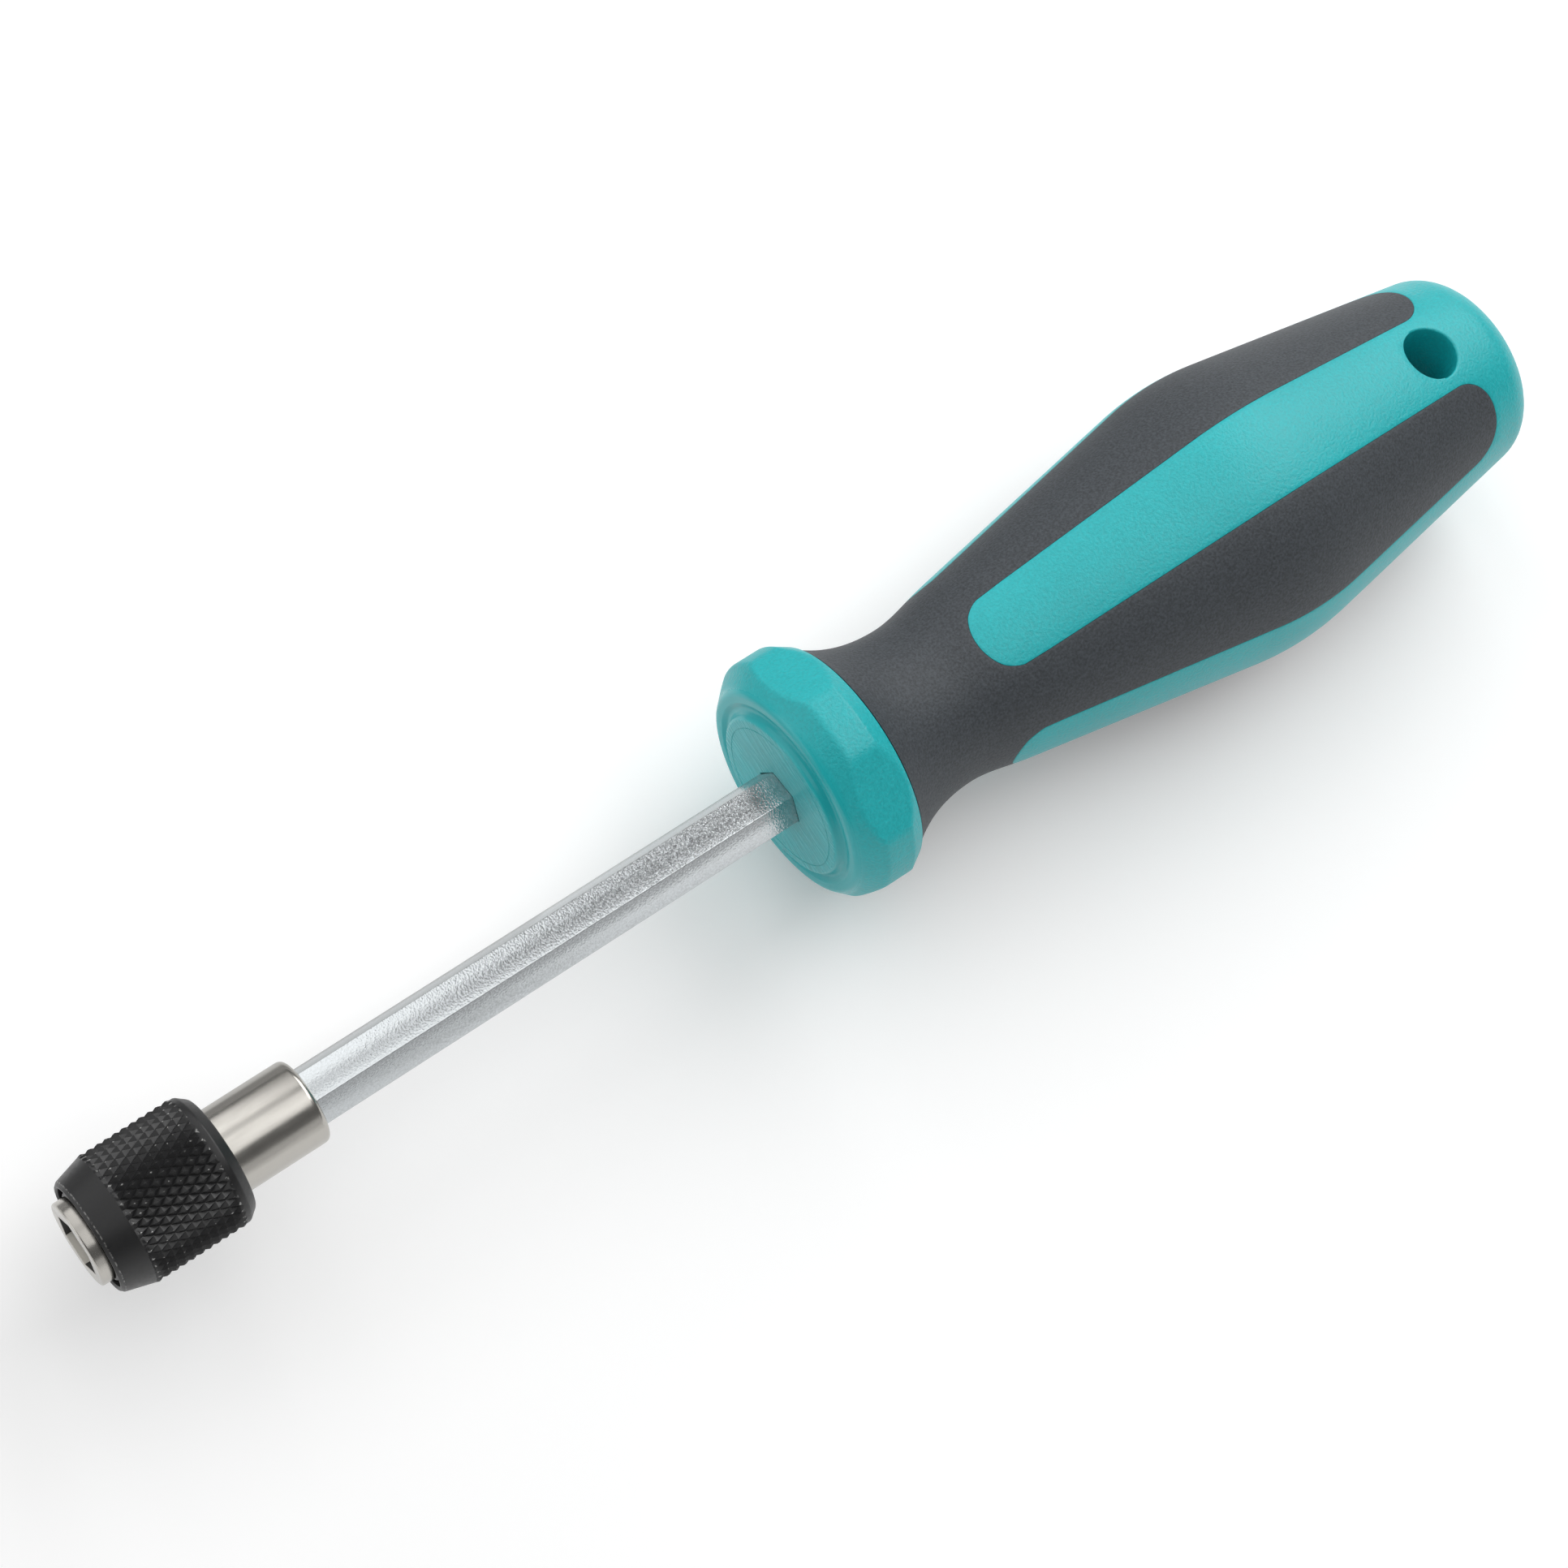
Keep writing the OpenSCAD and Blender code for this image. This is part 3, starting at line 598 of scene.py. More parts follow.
class HandleShape:
    """Outline of the grip zone and butt, and where its mesh lines run along the seams."""

    # Mesh columns all round, from stripe to stripe, and from a stripe's middle to its seam and to the hole
    COLUMNS = 192
    PER_STRIPE = 48
    SEAM = 12
    HOLE = 8
    # Spacing of the mesh rows in millimetres, from each line that the seams follow to the next
    ROWS = (0.76, 0.4, 0.76, 0.45, 0.45, 0.4)
    # How far the bow at the front of a stripe pulls the mesh along, down the tool and beside the stripe
    BOW_RUN, BOW_SIDE = 7 * MM, 3 * MM

    def __init__(self, sizes, rim):
        s = self.s = sizes
        self.rim = rim
        self.neck = FRONT_FACE + s.neck
        self.shoulder = FRONT_FACE + s.shoulder
        self.belly = FRONT_FACE + s.belly
        self.tail = BUTT_END - s.tail
        quarter = s.belly_run / 4
        self.front_slope = (s.belly_r - s.shoulder_r) / (self.belly - quarter - self.shoulder)
        self.rear_slope = (s.belly_r - s.tail_r) / (self.tail - self.belly - quarter)
        self.stripe = FRONT_FACE + s.stripe
        self.panel = BUTT_END - s.panel
        self.flare = self.panel - s.panel_round
        self.hole = BUTT_END - s.hole
        self.rows = self.make_rows()

    def radius(self, x):
        """Radius of the grip zone at x."""
        s = self.s
        front, rear = self.belly - s.belly_run / 2, self.belly + s.belly_run / 2
        shoulder = (self.shoulder, s.shoulder_r)
        if x < self.neck:
            return eased((self.rim, s.flare_r), -s.flare_slope, (self.neck, s.neck_r), 0, x)
        if x < self.shoulder:
            return eased((self.neck, s.neck_r), 0, shoulder, self.front_slope, x)
        if x < front:
            return s.shoulder_r + self.front_slope * (x - self.shoulder)
        if x < rear:
            start = (front, s.shoulder_r + self.front_slope * (front - self.shoulder))
            end = (rear, s.tail_r + self.rear_slope * (self.tail - rear))
            return eased(start, self.front_slope, end, -self.rear_slope, x)
        return s.tail_r + self.rear_slope * (self.tail - x)

    def make_rows(self):
        """Outline of the grip zone, with a row of points on each line that the seams follow."""
        s = self.s
        stops = [self.rim, self.stripe, self.stripe + s.stripe_round, self.flare, self.hole - s.hole_r,
                 self.hole + s.hole_r, self.panel]
        stops.sort()
        places = []
        for start, end, step in zip(stops, stops[1:], self.ROWS):
            count = math.ceil((end - start) / (step * MM))
            places += [start + (end - start) * i / count for i in range(count)]
        rows = [(x, self.radius(x)) for x in places + [self.panel]]
        edge = (BUTT_END - s.butt_drop, s.tail_r - self.rear_slope * (s.tail - s.butt_drop), s.butt_round)
        butt = rounded([(self.panel, rows[-1][1], 0), edge, (BUTT_END, s.butt_flat_r, s.dome_round),
                        (BUTT_END, 0, 0)], 10)
        arc = butt[1][0]
        steps = max(1, round((arc - self.panel) / (0.8 * MM)))
        line = [self.panel + (arc - self.panel) * i / steps for i in range(1, steps)]
        return rows + [(x, self.radius(x)) for x in line] + butt[1:]

    def half(self, x):
        """Half the width of a stripe at x, seen from straight above it."""
        s = self.s
        away = self.belly - min(max(x, self.stripe), self.flare)
        front = s.stripe_belly - (s.stripe_belly - s.stripe_front) * away / (self.belly - self.stripe)
        rear = s.stripe_belly + (s.stripe_belly - s.stripe_rear) * away / (self.panel - self.belly)
        return soft_least(front, rear, s.stripe_ease)

    def column(self, roll):
        """Which stripe a roll belongs to, and its column counted from that stripe's middle."""
        column = roll / 360 * self.COLUMNS
        stripe = round(column / self.PER_STRIPE)
        return stripe % 4, column - stripe * self.PER_STRIPE

    def is_grip(self, x, roll):
        """Whether a mesh point belongs to the soft grip."""
        column = abs(self.column(roll)[1])
        return self.rim < x < self.stripe or (self.stripe < x < self.panel and column > self.SEAM)

    def is_hole(self, x, roll):
        """Whether a mesh point lies in the hanging hole."""
        stripe, column = self.column(roll)
        return stripe % 2 == 0 and abs(column) < self.HOLE and abs(x - self.hole) < self.s.hole_r

    def slide(self, x, roll):
        """Where a mesh point moves so that the mesh follows the seams and the hole."""
        s = self.s
        r = self.radius(x)
        stripe, column = self.column(roll)
        column = round(column)
        a, side = abs(column), (1 if column > 0 else -1)
        half = self.half(x)
        seam = math.asin(half / r)
        quarter = self.PER_STRIPE / 2 - self.SEAM
        angle = seam * a / self.SEAM if a <= self.SEAM else (
            seam + (math.pi / 4 - seam) * (a - self.SEAM) / quarter)
        y = r * math.sin(angle)
        if stripe % 2 == 0 and a <= self.SEAM:
            near = 2 - abs(x - self.hole) / s.hole_r
            near = min(max(near, 0), 1)
            rest = (a - self.HOLE) / (self.SEAM - self.HOLE)
            wanted = s.hole_r * a / self.HOLE if a <= self.HOLE else s.hole_r + (half - s.hole_r) * rest
            y += (wanted - y) * near
            p, q = seam_warp(abs(x - self.hole) / s.hole_r, y / s.hole_r, 0.4)
            x = self.hole + math.copysign(p * s.hole_r, x - self.hole)
            y = q * s.hole_r
        corner = half - s.stripe_round
        p = (self.stripe + s.stripe_round - x) / s.stripe_round
        p, q = seam_warp(p, (y - corner) / s.stripe_round, 1)
        x = self.stripe + s.stripe_round * (1 - p)
        y = corner + q * s.stripe_round
        inside = min(y, half, 0.95 * s.stripe_bow)
        near = max(0, 1 - abs(x - self.stripe) / self.BOW_RUN)
        near *= max(0, 1 - max(0, y - half) / self.BOW_SIDE)
        x += (s.stripe_bow - math.sqrt(s.stripe_bow**2 - inside**2)) * near
        corner = half + s.panel_round
        p, q = seam_warp((x - self.flare) / s.panel_round, (corner - y) / s.panel_round, 0.3)
        x = self.flare + p * s.panel_round
        y = corner - q * s.panel_round
        r = self.radius(x)
        angle = stripe * math.pi / 2 + side * math.asin(min(y / r, 1))
        return Vector((x, -r * math.sin(angle), r * math.cos(angle)))


def make_bolster(sizes):
    """The bolster as a solid of its own: turned, then pressed in to its soft-edged flats."""
    s = sizes
    x = FRONT_FACE
    line = 0.06 * MM
    mark = [(x, s.mark_r - line, 0), (x + line, s.mark_r - line / 2, 0),
            (x + line, s.mark_r + line / 2, 0), (x, s.mark_r + line, 0)]
    # The valley between boss and ring: shares of the way out to the ring, and of the ring's depth
    fall = s.ring_r - s.boss_r
    cove = [(x + s.ring * drop, s.boss_r + fall * out, 0.6 * MM)
            for out, drop in ((0.1, 0.9), (0.22, 1.5), (0.36, 1.55), (0.6, 1.06))]
    outline = rounded([
        (x, 0, 0), *mark,
        (x, s.boss_r, 0.5 * MM), *cove,
        (x + s.ring, s.ring_r, 0.9 * MM),
        (x + s.cone, s.land_r, 1.2 * MM),
        (x + s.cone + s.land, s.land_r, 0.8 * MM),
        (x + s.rim, s.rim_r, 0),
        (x + s.rim, 0, 0)])
    piece = turn("bolster", dense(outline, 0.3 * MM, s.ring_r), 58 * s.flats)
    sector = 2 * math.pi / s.flats
    for v in piece.data.vertices:
        r = off_axis(v.co)
        if r > s.ring_r:
            roll = math.atan2(-v.co.y, v.co.z) + math.pi
            off = (roll + sector / 2) % sector - sector / 2
            draw_to(v, soft_least(r, s.flat_r / math.cos(off), s.edge))
    return piece


class SCREWDRIVER_OT_handle(bpy.types.Operator):
    """Hard core with bolster, stripes and butt, and the soft grip moulded into it"""

    bl_idname = "screwdriver.handle"
    bl_label = "Handle and soft grip"

    def execute(self, context):
        s = size("handle")
        bolster = size("bolster")
        shape = HandleShape(s, FRONT_FACE + bolster.rim)
        # The core starts inside the bolster, which is joined on below
        sunk, lip, under = shape.rim - 1 * MM, shape.rim - 0.3 * MM, s.flare_r - s.grip
        outline = [(sunk, 0), (sunk, under), (lip, under), (lip, s.flare_r)] + shape.rows
        core = turn("handle_core", outline, shape.COLUMNS)
        mesh = core.data
        mesh.materials.append(None)
        mesh.materials.append(None)
        for face in mesh.polygons:
            x, roll = face.center.x, roll_of(face.center)
            if face.normal.x > -0.99:
                face.material_index = int(shape.is_grip(x, roll))
        holes = {f.index for f in mesh.polygons if shape.is_hole(f.center.x, roll_of(f.center))}
        top = shape.panel + s.panel_round
        for v in mesh.vertices:
            if shape.rim + 1e-6 < v.co.x < top:
                v.co = shape.slide(v.co.x, roll_of(v.co))
        edit(core)
        select(core, "FACE", lambda f: f.index in holes)
        bpy.ops.mesh.delete(type="FACE")
        select(core, "EDGE", lambda e: e.is_boundary)
        bpy.ops.mesh.bridge_edge_loops()

        def rim(edge):
            """Whether an edge lies on the rim of the hanging hole."""
            middle = (edge.verts[0].co + edge.verts[1].co) / 2
            away = math.hypot(middle.x - shape.hole, middle.y)
            return sharpness(edge) > 50 and away < s.hole_r * 1.02 and middle.x > shape.flare - 1 * MM

        select(core, "EDGE", rim)
        bpy.ops.mesh.bevel(offset=s.hole_round, segments=4, profile=0.5, clamp_overlap=False)
        select(core, "FACE", lambda f: f.material_index == 1)
        bpy.ops.mesh.duplicate()
        bpy.ops.mesh.separate(type="SELECTED")
        done()
        grip = next(o for o in context.selected_objects if o != core)
        grip.name = grip.data.name = "soft_grip_skin"

        edit(core)
        select(core, "FACE", lambda f: f.material_index == 1)
        bpy.ops.mesh.extrude_region_shrink_fatten(TRANSFORM_OT_shrink_fatten={"value": -s.grip})
        self.round_seams(core, shape)
        done()
        combine(core, make_bolster(bolster), "UNION")
        shaft = size("holder")
        pocket = bar("shaft_pocket", 6, (shaft.shaft_flats / 2 + shaft.shaft_gap) * 2 / math.sqrt(3),
                     FRONT_FACE - 1 * MM, FRONT_FACE + 1 * MM, shaft.shaft_turn)
        combine(core, pocket, "DIFFERENCE")
        smooth(core, 32)
        core.name = "handle_core"
        dress(core, moulded_polypropylene(), "handle", "hard_plastic", "handle_body")

        wall = grip.modifiers.new("wall", "SOLIDIFY")
        wall.thickness = s.grip - 0.03 * MM
        wall.offset = -1
        wall.use_even_offset = True
        only(grip)
        bpy.ops.object.modifier_apply(modifier="wall")
        for v in grip.data.vertices:
            v.co.x = max(v.co.x, shape.rim + s.gap)
        edit(grip)
        self.round_seams(grip, shape)
        face_out()
        smooth(grip, 40)
        dress(grip, moulded_elastomer(), "handle", "soft_grip", "soft_grip")
        return {"FINISHED"}

    def round_seams(self, piece, shape):
        """Rounds the edges where hard plastic and soft grip meet."""
        select(piece, "EDGE", lambda e: sharpness(e) > 60 and self.on_seam(shape, e))
        bpy.ops.mesh.bevel(offset=shape.s.seam, segments=2, profile=0.5, clamp_overlap=False)

    def on_seam(self, shape, edge):
        """Whether an edge lies on the outside of the grip zone."""
        return all(shape.rim - 1e-5 < v.co.x < shape.panel + 1 * MM
                   and off_axis(v.co) >= shape.radius(v.co.x) - 0.15 * MM for v in edge.verts)


class SCREWDRIVER_OT_shaft(bpy.types.Operator):
    """Hex shaft with its tenon"""

    bl_idname = "screwdriver.shaft"
    bl_label = "Hex shaft"

    def execute(self, context):
        s = size("holder")
        shaft = bar("zinc_shaft", 6, s.shaft_flats / math.sqrt(3), HOLDER_HIGH.x, SHAFT_HIGH.x, s.shaft_turn)
        edit(shaft)
        select(shaft, "EDGE", lambda e: abs(e.verts[0].co.x - e.verts[1].co.x) > 1 * MM)
        bpy.ops.mesh.bevel(offset=s.shaft_edge, segments=2, profile=0.5)
        select(shaft, "FACE", lambda f: abs(f.normal.x) > 0.9)
        bpy.ops.mesh.inset(thickness=0.3 * MM)
        done()
        tenon = bar("tenon", 48, 3 * MM, SHAFT_LOW.x, HOLDER_HIGH.x + 1 * MM, 0)
        combine(shaft, tenon, "UNION")
        smooth(shaft, 20)
        dress(shaft, zinc_plated_steel(), "handle", "zinc_steel", "hex_shaft")
        return {"FINISHED"}


class SCREWDRIVER_OT_holder(bpy.types.Operator):
    """Bit holder with its socket"""

    bl_idname = "screwdriver.holder"
    bl_label = "Bit holder"

    def execute(self, context):
        s = size("holder")
        r, end = HOLDER_HIGH.y, HOLDER_HIGH.x
        socket_r = s.socket_flats / math.sqrt(3)
        mouth_r = socket_r + s.mouth
        groove_r = r - 0.35 * MM
        grooves = ((1.5 * MM, 2.3 * MM), (11.43 * MM, 12.23 * MM))
        tenon_r, tenon_start = 3.02 * MM, 22.8 * MM
        magnet_r, magnet_end = 2.77 * MM, 22 * MM
        ball_r, ball_place = 1.25 * MM, 9.6 * MM
        outline = [(0, 0, 0), (0, r, 0.3 * MM)]
        for front, rear in grooves:
            outline += [(front, r, 0), (front, groove_r, 0), (rear, groove_r, 0), (rear, r, 0)]
        outline += [(end, r, 0.8 * MM), (end, tenon_r, 0), (tenon_start, tenon_r, 0), (tenon_start, 0, 0)]
        holder = turn("nickel_holder", rounded(outline), 96)
        socket = bar("socket", 6, socket_r, -1 * MM, s.socket, s.socket_turn)
        combine(holder, socket, "DIFFERENCE")
        pocket = bar("magnet_pocket", 48, magnet_r, s.socket - 1 * MM, magnet_end, 0)
        combine(holder, pocket, "DIFFERENCE")
        edit(holder)
        select(holder, "EDGE", lambda e: all(
            abs(v.co.x) < MERGE and off_axis(v.co) < mouth_r for v in e.verts))
        bpy.ops.mesh.bevel(offset=s.mouth, segments=2, profile=0.5)
        done()
        bpy.ops.object.select_all(action="DESELECT")
        bpy.ops.mesh.primitive_cylinder_add(vertices=32, radius=ball_r, depth=8 * MM)
        roll = s.socket_turn + math.pi / 2
        out = Vector((0, -math.sin(roll), math.cos(roll)))
        bpy.context.object.matrix_world = (
            Matrix.Translation(Vector((ball_place, 0, 0)) + out * 6 * MM)
            @ out.to_track_quat("Z", "Y").to_matrix().to_4x4())
        combine(holder, added("ball_hole"), "DIFFERENCE")
        smooth(holder, 30)
        dress(holder, nickel_plated_steel(mouth_r), "handle", "nickel_steel", "holder_body")
        return {"FINISHED"}


class SCREWDRIVER_OT_sleeve(bpy.types.Operator):
    """Knurled release sleeve"""

    bl_idname = "screwdriver.sleeve"
    bl_label = "Release sleeve"

    def execute(self, context):
        s = size("holder")
        start, end = SLEEVE_LOW.x, SLEEVE_HIGH.x
        front, rear = start + s.cone, end - s.tail
        first, last = front + s.knurl_end, rear - s.knurl_end
        row = (last - first) / s.knurl_rows
        low, edge = s.knurl_r - s.knurl_depth, s.knurl_r - 0.13 * MM
        rim_r, tail_r = 6.5 * MM, 6.8 * MM
        # Inside, from the front: spring chamber, ball seat, ramp, recess of the stop ring, rear guide
        chamber_r, seat_r, ramp_r, recess_r, guide_r = 6.1 * MM, 5.35 * MM, 6.166 * MM, 6.6 * MM, 5.15 * MM
        seat, ramp, recess, guide = 7.55 * MM, 9.253 * MM, 11.43 * MM, 14.43 * MM
        chamfer = LIP / 2
        bore = (start + chamfer, chamber_r, 0)
        outline = rounded([
            bore, (start, chamber_r + chamfer, 0), (start, rim_r, 0), (start + LIP, rim_r + LIP, 0.15 * MM),
            (front, edge, 0), *((first + row * i, low, 0) for i in range(s.knurl_rows + 1)),
            (rear, edge, 0), (rear + 0.5 * MM, edge, 0.5 * MM),
            (end, tail_r, 0.6 * MM), (end, guide_r, 0), (guide, guide_r, 0),
            (guide, recess_r, 0), (recess, recess_r, 0), (recess, ramp_r, 0),
            (ramp, seat_r, 0), (seat, seat_r, 0), (seat, chamber_r, 0), bore])
        sleeve = turn("knurled_sleeve", outline, 2 * s.knurl_starts)

        # Every second point of each row is raised to a tooth, staggered from row to row
        def knurl(v, odd):
            """Whether a vertex is a tooth of the knurl (odd 1) or a point between the teeth (odd 0)."""
            if not first - 1e-6 < v.co.x < last + 1e-6 or off_axis(v.co) < low - 0.1 * MM:
                return False
            column = round(roll_of(v.co) / 180 * s.knurl_starts)
            return (round((v.co.x - first) / row) + column) % 2 == odd

        edit(sleeve)
        select(sleeve, "VERT", lambda v: knurl(v, 0))
        bpy.ops.mesh.vert_connect()
        # Share of a tooth's height that its blunt top takes off
        flat = 0.07
        peak = low + s.knurl_depth / (1 - flat)
        mesh = bmesh.from_edit_mesh(sleeve.data)
        for v in mesh.verts:
            if knurl(v, 1):
                draw_to(v, peak)
        bmesh.update_edit_mesh(sleeve.data)
        select(sleeve, "VERT", lambda v: knurl(v, 1))
        bpy.ops.mesh.bevel(offset_type="PERCENT", offset_pct=100 * flat, affect="VERTICES", segments=1)
        face_out()
        smooth(sleeve, 28)
        dress(sleeve, blackened_steel(s.knurl_r), "sleeve", "black_steel", "release_sleeve")
        return {"FINISHED"}


class SCREWDRIVER_OT_spring(bpy.types.Operator):
    """Coil spring of the sleeve"""

    bl_idname = "screwdriver.spring"
    bl_label = "Sleeve spring"

    def execute(self, context):
        wire, turns, travel = 0.3 * MM, 2.5, 2 * MM
        coil_r = SPRING_HIGH.z - wire
        first, last = SPRING_LOW.x + wire, SPRING_HIGH.x - wire
        bpy.ops.object.select_all(action="DESELECT")
        bpy.ops.mesh.primitive_circle_add(vertices=12, radius=wire, location=(first, 0, coil_r),
                                          rotation=(math.pi / 2, 0, 0), fill_type="NGON")
        spring = added("coil_spring")
        wind = spring.modifiers.new("wind", "SCREW")
        wind.axis = "X"
        wind.angle = 2 * math.pi * turns
        wind.screw_offset = last - first
        wind.steps = wind.render_steps = int(36 * turns)
        bpy.ops.object.modifier_apply(modifier="wind")
        edit(spring)
        bpy.ops.mesh.remove_doubles(threshold=MERGE)
        select(spring, "EDGE", lambda e: e.is_boundary)
        bpy.ops.mesh.edge_face_add()
        face_out()
        smooth(spring, 40)
        steel = bright_steel("drawn_spring_steel", "8C8C90", 0.25)
        dress(spring, steel, "handle", "spring_steel", "sleeve_spring")
        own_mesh(spring)
        return {"FINISHED"}


class SCREWDRIVER_OT_fittings(bpy.types.Operator):
    """Finishes of the small inner pieces, which keep their own solids"""

    bl_idname = "screwdriver.fittings"
    bl_label = "Rings, washers, ball and magnet"

    def execute(self, context):
        spring = bright_steel("ground_spring_steel", "77777B", 0.3)
        finishes = {
            "retaining_ring": blackened_steel(),
            "follower_washer": spring,
            "stop_ring": spring,
            "backing_washer": blackened_steel(),
            "lock_ball": bright_steel("polished_ball_steel", "D0D0D4", 0.06),
            "bit_magnet": bright_steel("nickel_plated_magnet", "A8A49C", 0.22),
        }
        for name, finish in finishes.items():
            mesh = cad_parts[name].data
            mesh.materials.clear()
            mesh.materials.append(finish)
        return {"FINISHED"}


class SCREWDRIVER_OT_stage(bpy.types.Operator):
    """Pale floor, soft light and the camera"""

    bl_idname = "screwdriver.stage"
    bl_label = "Stage"

    def execute(self, context):
        s = size("stage")
        scene = context.scene
        scene.view_settings.view_transform = "Standard"
        bpy.ops.object.select_all(action="DESELECT")
        bpy.ops.mesh.primitive_plane_add(size=6, location=(0.1, 0, -HANDLE_HIGH.z - 0.05 * MM))
        floor = bpy.context.object
        floor.name = floor.data.name = "floor"
        made, tree, shader, _ = new_material("matt_white_card")
        # A little more white where the floor is seen as background, directly or in the metal
        seen = node(tree, "LightPath", {})
        either = node(tree, "Math", {0: seen.outputs["Is Camera Ray"], 1: seen.outputs["Is Glossy Ray"]})
        either = node(tree, "Math", {0: either, 1: seen.outputs["Is Transmission Ray"]}, use_clamp=True)
        lift = node(tree, "Math", {0: either, 1: s.lift}, operation="MULTIPLY")
        feed(tree, shader, {"Base Color": (*size("finishes").floor, 1), "Roughness": 0.9,
                            "Specular IOR Level": 0.1, "Emission Color": WHITE, "Emission Strength": lift})
        floor.data.materials.append(made)

        # Cards on the floor that only reflections show, on both sides of the shaft: the glowing white one is
        # painted light in those reflections, and the others are painted shade of the floor there
        for name, tone, glow, x, y, wide, deep in (
            ("grey_shade_card", "A0A0A0", 0, 0.075, 0.32, 0.25, 0.55),
            ("pale_shade_card", "ECECEC", 0, 0.042, 0.025, 0.052, 0.04),
            ("faint_shade_card", "FAFAFA", 0, 0.092, 0.025, 0.048, 0.04),
            ("shade_card", "D0D0D0", 0, 0.078, -0.24, 0.024, 0.32),
            ("glowing_light_card", "FFFFFF", 0.3, 0.2, -0.24, 0.22, 0.32),
        ):
            bpy.ops.object.select_all(action="DESELECT")
            bpy.ops.mesh.primitive_plane_add(size=1, location=(x, y, floor.location.z + 0.5 * MM))
            bpy.context.object.scale = (wide, deep, 1)
            card = added(name)
            made, tree, shader, _ = new_material(name)
            feed(tree, shader, {"Base Color": (*linear(tone), 1), "Roughness": 0.95, "Emission Color": WHITE,
                                "Emission Strength": glow})
            card.data.materials.append(made)
            card.visible_camera = card.visible_diffuse = card.visible_shadow = False

        world = bpy.data.worlds.new("studio")
        scene.world = world
        world.use_nodes = True
        feed(world.node_tree, world.node_tree.nodes["Background"], {"Color": WHITE, "Strength": s.sky})

        # One overhead frame, leaning over the tool, holds panels from one place and roll to another
        lean, height = math.radians(-21.5), 0.65
        out = Vector((0, -math.sin(lean), math.cos(lean)))
        side = Vector((0, -math.cos(lean), -math.sin(lean)))
        for name, start, end, first, last, radiance in (
            ("far_strip", 0.1, 0.245, -79, -28, s.tip_light),
            ("middle_strip", 0.1, 0.215, -28, -12, 0.62 * s.tip_light),
            ("near_strip", 0.1, 0.28, -12, 2, 0.9 * s.tip_light),
            ("edge_strip", 0.1, 0.4, 2, 30, 0.86 * s.tip_light),
            ("far_front", -0.7, 0.1, -79, -28, 0.5 * s.tip_light),
            ("middle_front", -0.7, 0.1, -28, -12, 0.38 * s.tip_light),
            ("near_front", -0.7, 0.1, -12, 30, 0.46 * s.tip_light),
            ("far_gap", 0.245, 0.4, -79, -28, s.gap_light),
            ("middle_gap", 0.215, 0.4, -28, -12, s.gap_light),
            ("near_gap", 0.28, 0.4, -12, 2, s.gap_light),
            ("butt_panel", 0.4, 1.22, -58, 20, s.butt_light),
        ):
            low, high = (height * math.tan(math.radians(roll) - lean) for roll in (first, last))
            place = Vector(((start + end) / 2, 0, 0)) + out * height + side * (low + high) / 2
            self.panel(name, place, (lean, 0, 0), end - start, high - low, radiance)
        # Low white reflectors at the near side and in front of the tip
        self.panel("near_reflector", (0.1, -0.9, 0.17), (math.pi / 2, 0, 0), 1.2, 0.38, 0.7 * s.reflector)
        self.panel("tip_reflector", (-0.85, 0.42, 0.2), (math.pi / 2, 0, math.radians(-114.5)), 0.7, 0.35,
                   2.3 * s.reflector)

        # The side that faces the camera, and the direction square to it and to the tool
        side = Vector((0, -math.sin(s.roll), math.cos(s.roll)))
        across = Vector((0, -math.cos(s.roll), -math.sin(s.roll)))
        along = Vector((math.cos(s.tilt), 0, 0)) + side * math.sin(s.tilt)
        right = along * math.cos(s.rise) + across * math.sin(s.rise)
        up = along * math.sin(s.rise) - across * math.cos(s.rise)
        back = right.cross(up)
        target = Vector((s.centre, 0, 0)) - across * s.above
        bpy.ops.object.camera_add()
        camera = bpy.context.object
        camera.name = camera.data.name = "camera"
        camera.data.lens = s.lens
        camera.data.sensor_width = 36
        camera.data.clip_start, camera.data.clip_end = 0.01, 20
        turned = Matrix((right, up, back)).transposed().to_4x4()
        camera.matrix_world = Matrix.Translation(target + back * s.distance) @ turned
        scene.camera = camera
        return {"FINISHED"}

    def panel(self, name, place, rotation, wide, deep, radiance):
        """A flat lamp of even brightness that the camera doesn't see."""
        bpy.ops.object.select_all(action="DESELECT")
        bpy.ops.object.light_add(type="AREA", location=place, rotation=rotation)
        lamp = bpy.context.object
        lamp.name = lamp.data.name = name
        lamp.data.shape = "RECTANGLE"
        lamp.data.size, lamp.data.size_y = wide, deep
        lamp.data.energy = radiance * math.pi * wide * deep
        lamp.visible_camera = False


STEPS = (SCREWDRIVER_OT_handle, SCREWDRIVER_OT_shaft, SCREWDRIVER_OT_holder, SCREWDRIVER_OT_sleeve,
         SCREWDRIVER_OT_spring, SCREWDRIVER_OT_fittings, SCREWDRIVER_OT_stage)
GROUPS = {"bolster": BolsterSizes, "handle": HandleSizes, "holder": HolderSizes, "finishes": Finishes,
          "stage": StageSizes}


class SCREWDRIVER_PT_panel(bpy.types.Panel):
    """Settings and steps of the screwdriver"""

    bl_label = "Bit holder screwdriver"
    bl_idname = "SCREWDRIVER_PT_panel"
    bl_space_type = "VIEW_3D"
    bl_region_type = "UI"
    bl_category = "Screwdriver"

    def draw(self, context):
        for step in STEPS:
            self.layout.operator(step.bl_idname)
        for name, group in GROUPS.items():
            box = self.layout.box()
            box.label(text=name.capitalize())
            for prop in group.__annotations__:
                box.prop(size(name), prop)


CLASSES = (*GROUPS.values(), *STEPS, SCREWDRIVER_PT_panel)


def register():
    for cls in CLASSES:
        bpy.utils.register_class(cls)
    for name, group in GROUPS.items():
        setattr(bpy.types.Scene, "screwdriver_" + name, PointerProperty(type=group))


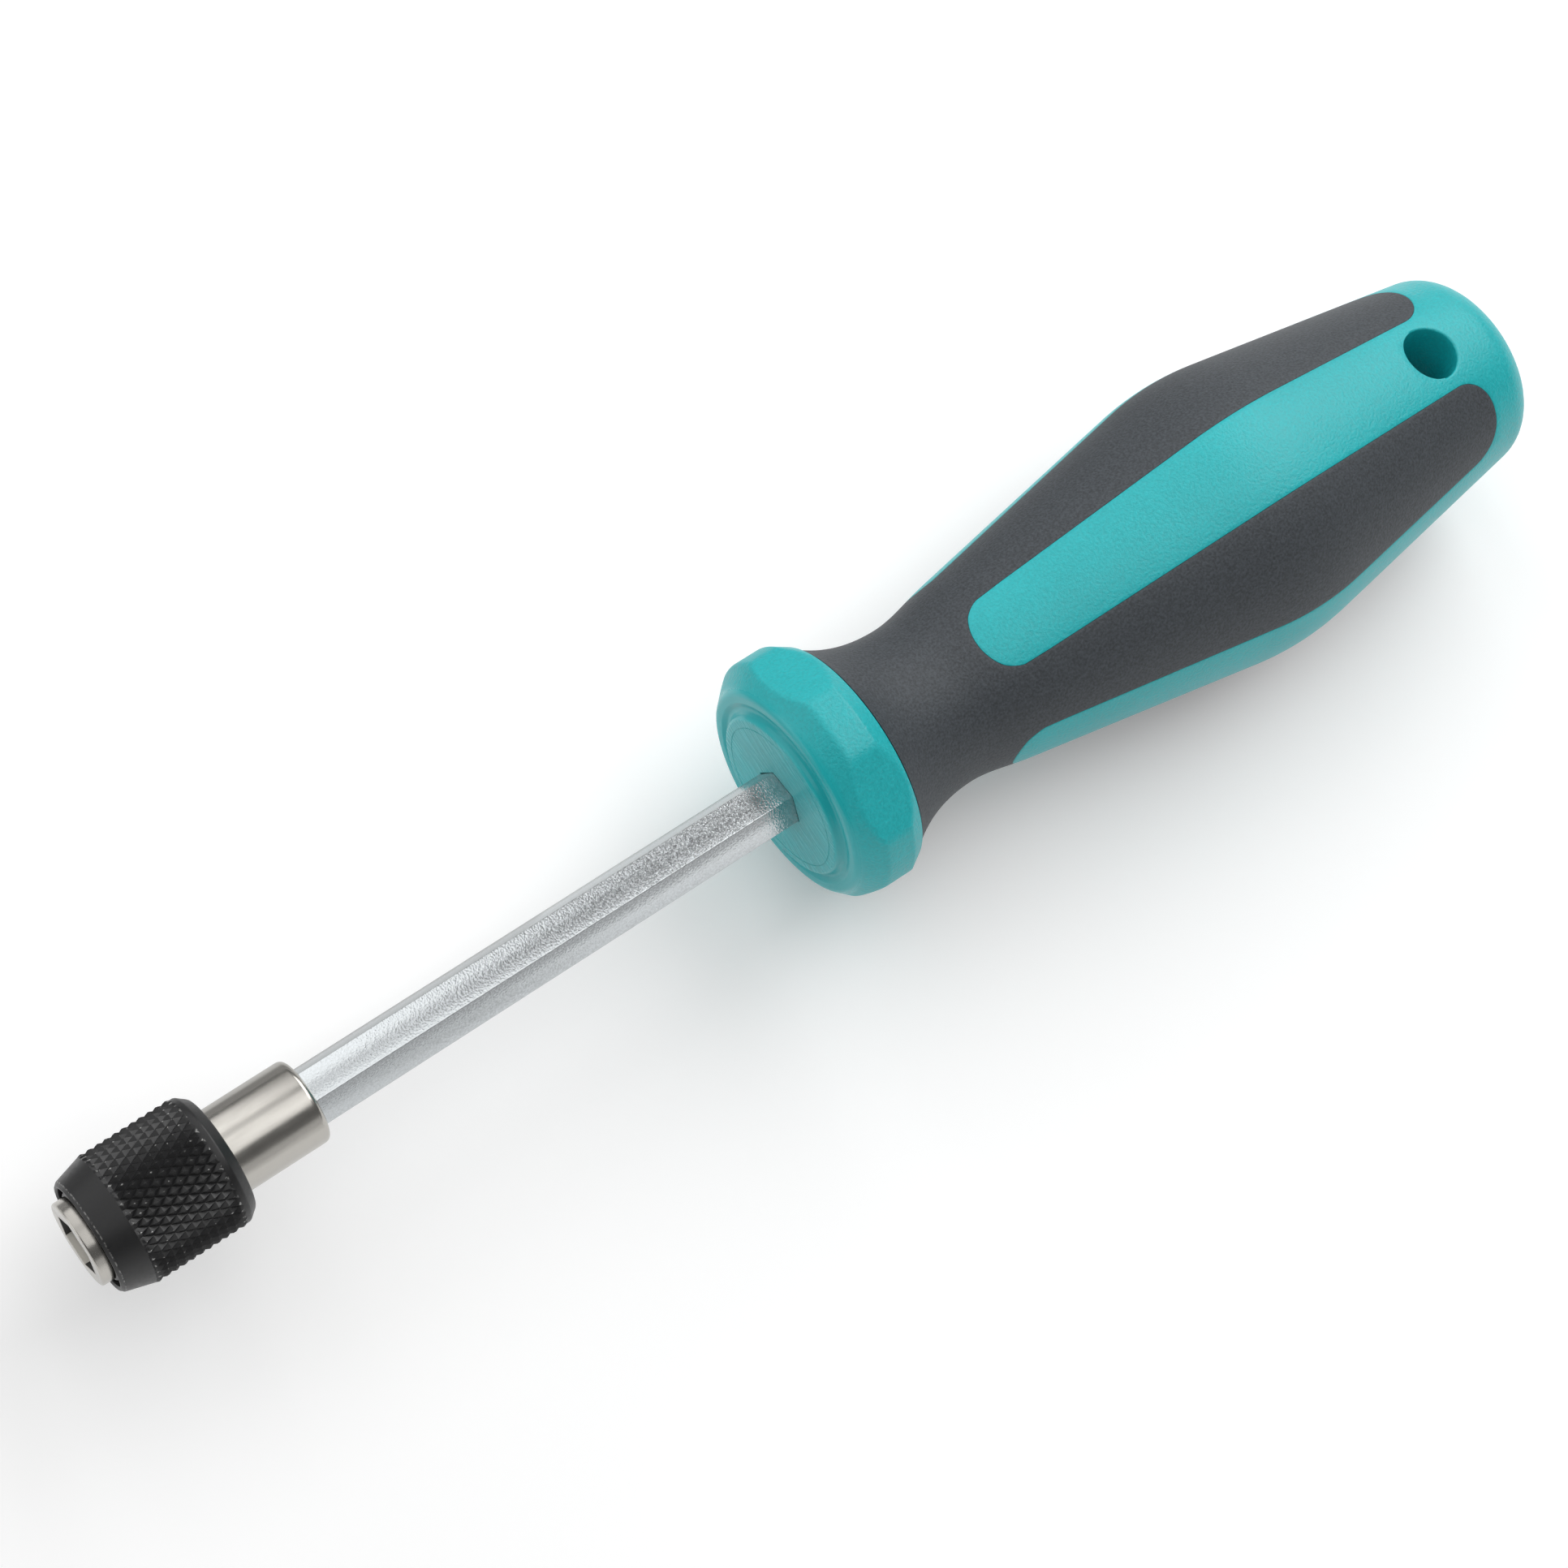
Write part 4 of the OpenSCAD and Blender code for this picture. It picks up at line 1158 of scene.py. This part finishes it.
def unregister():
    for name in GROUPS:
        delattr(bpy.types.Scene, "screwdriver_" + name)
    for cls in reversed(CLASSES):
        bpy.utils.unregister_class(cls)


def main():
    register()
    bpy.ops.screwdriver.handle()
    bpy.ops.screwdriver.shaft()
    bpy.ops.screwdriver.holder()
    bpy.ops.screwdriver.sleeve()
    bpy.ops.screwdriver.spring()
    bpy.ops.screwdriver.fittings()
    bpy.ops.screwdriver.stage()


if __name__ == "__main__":
    main()
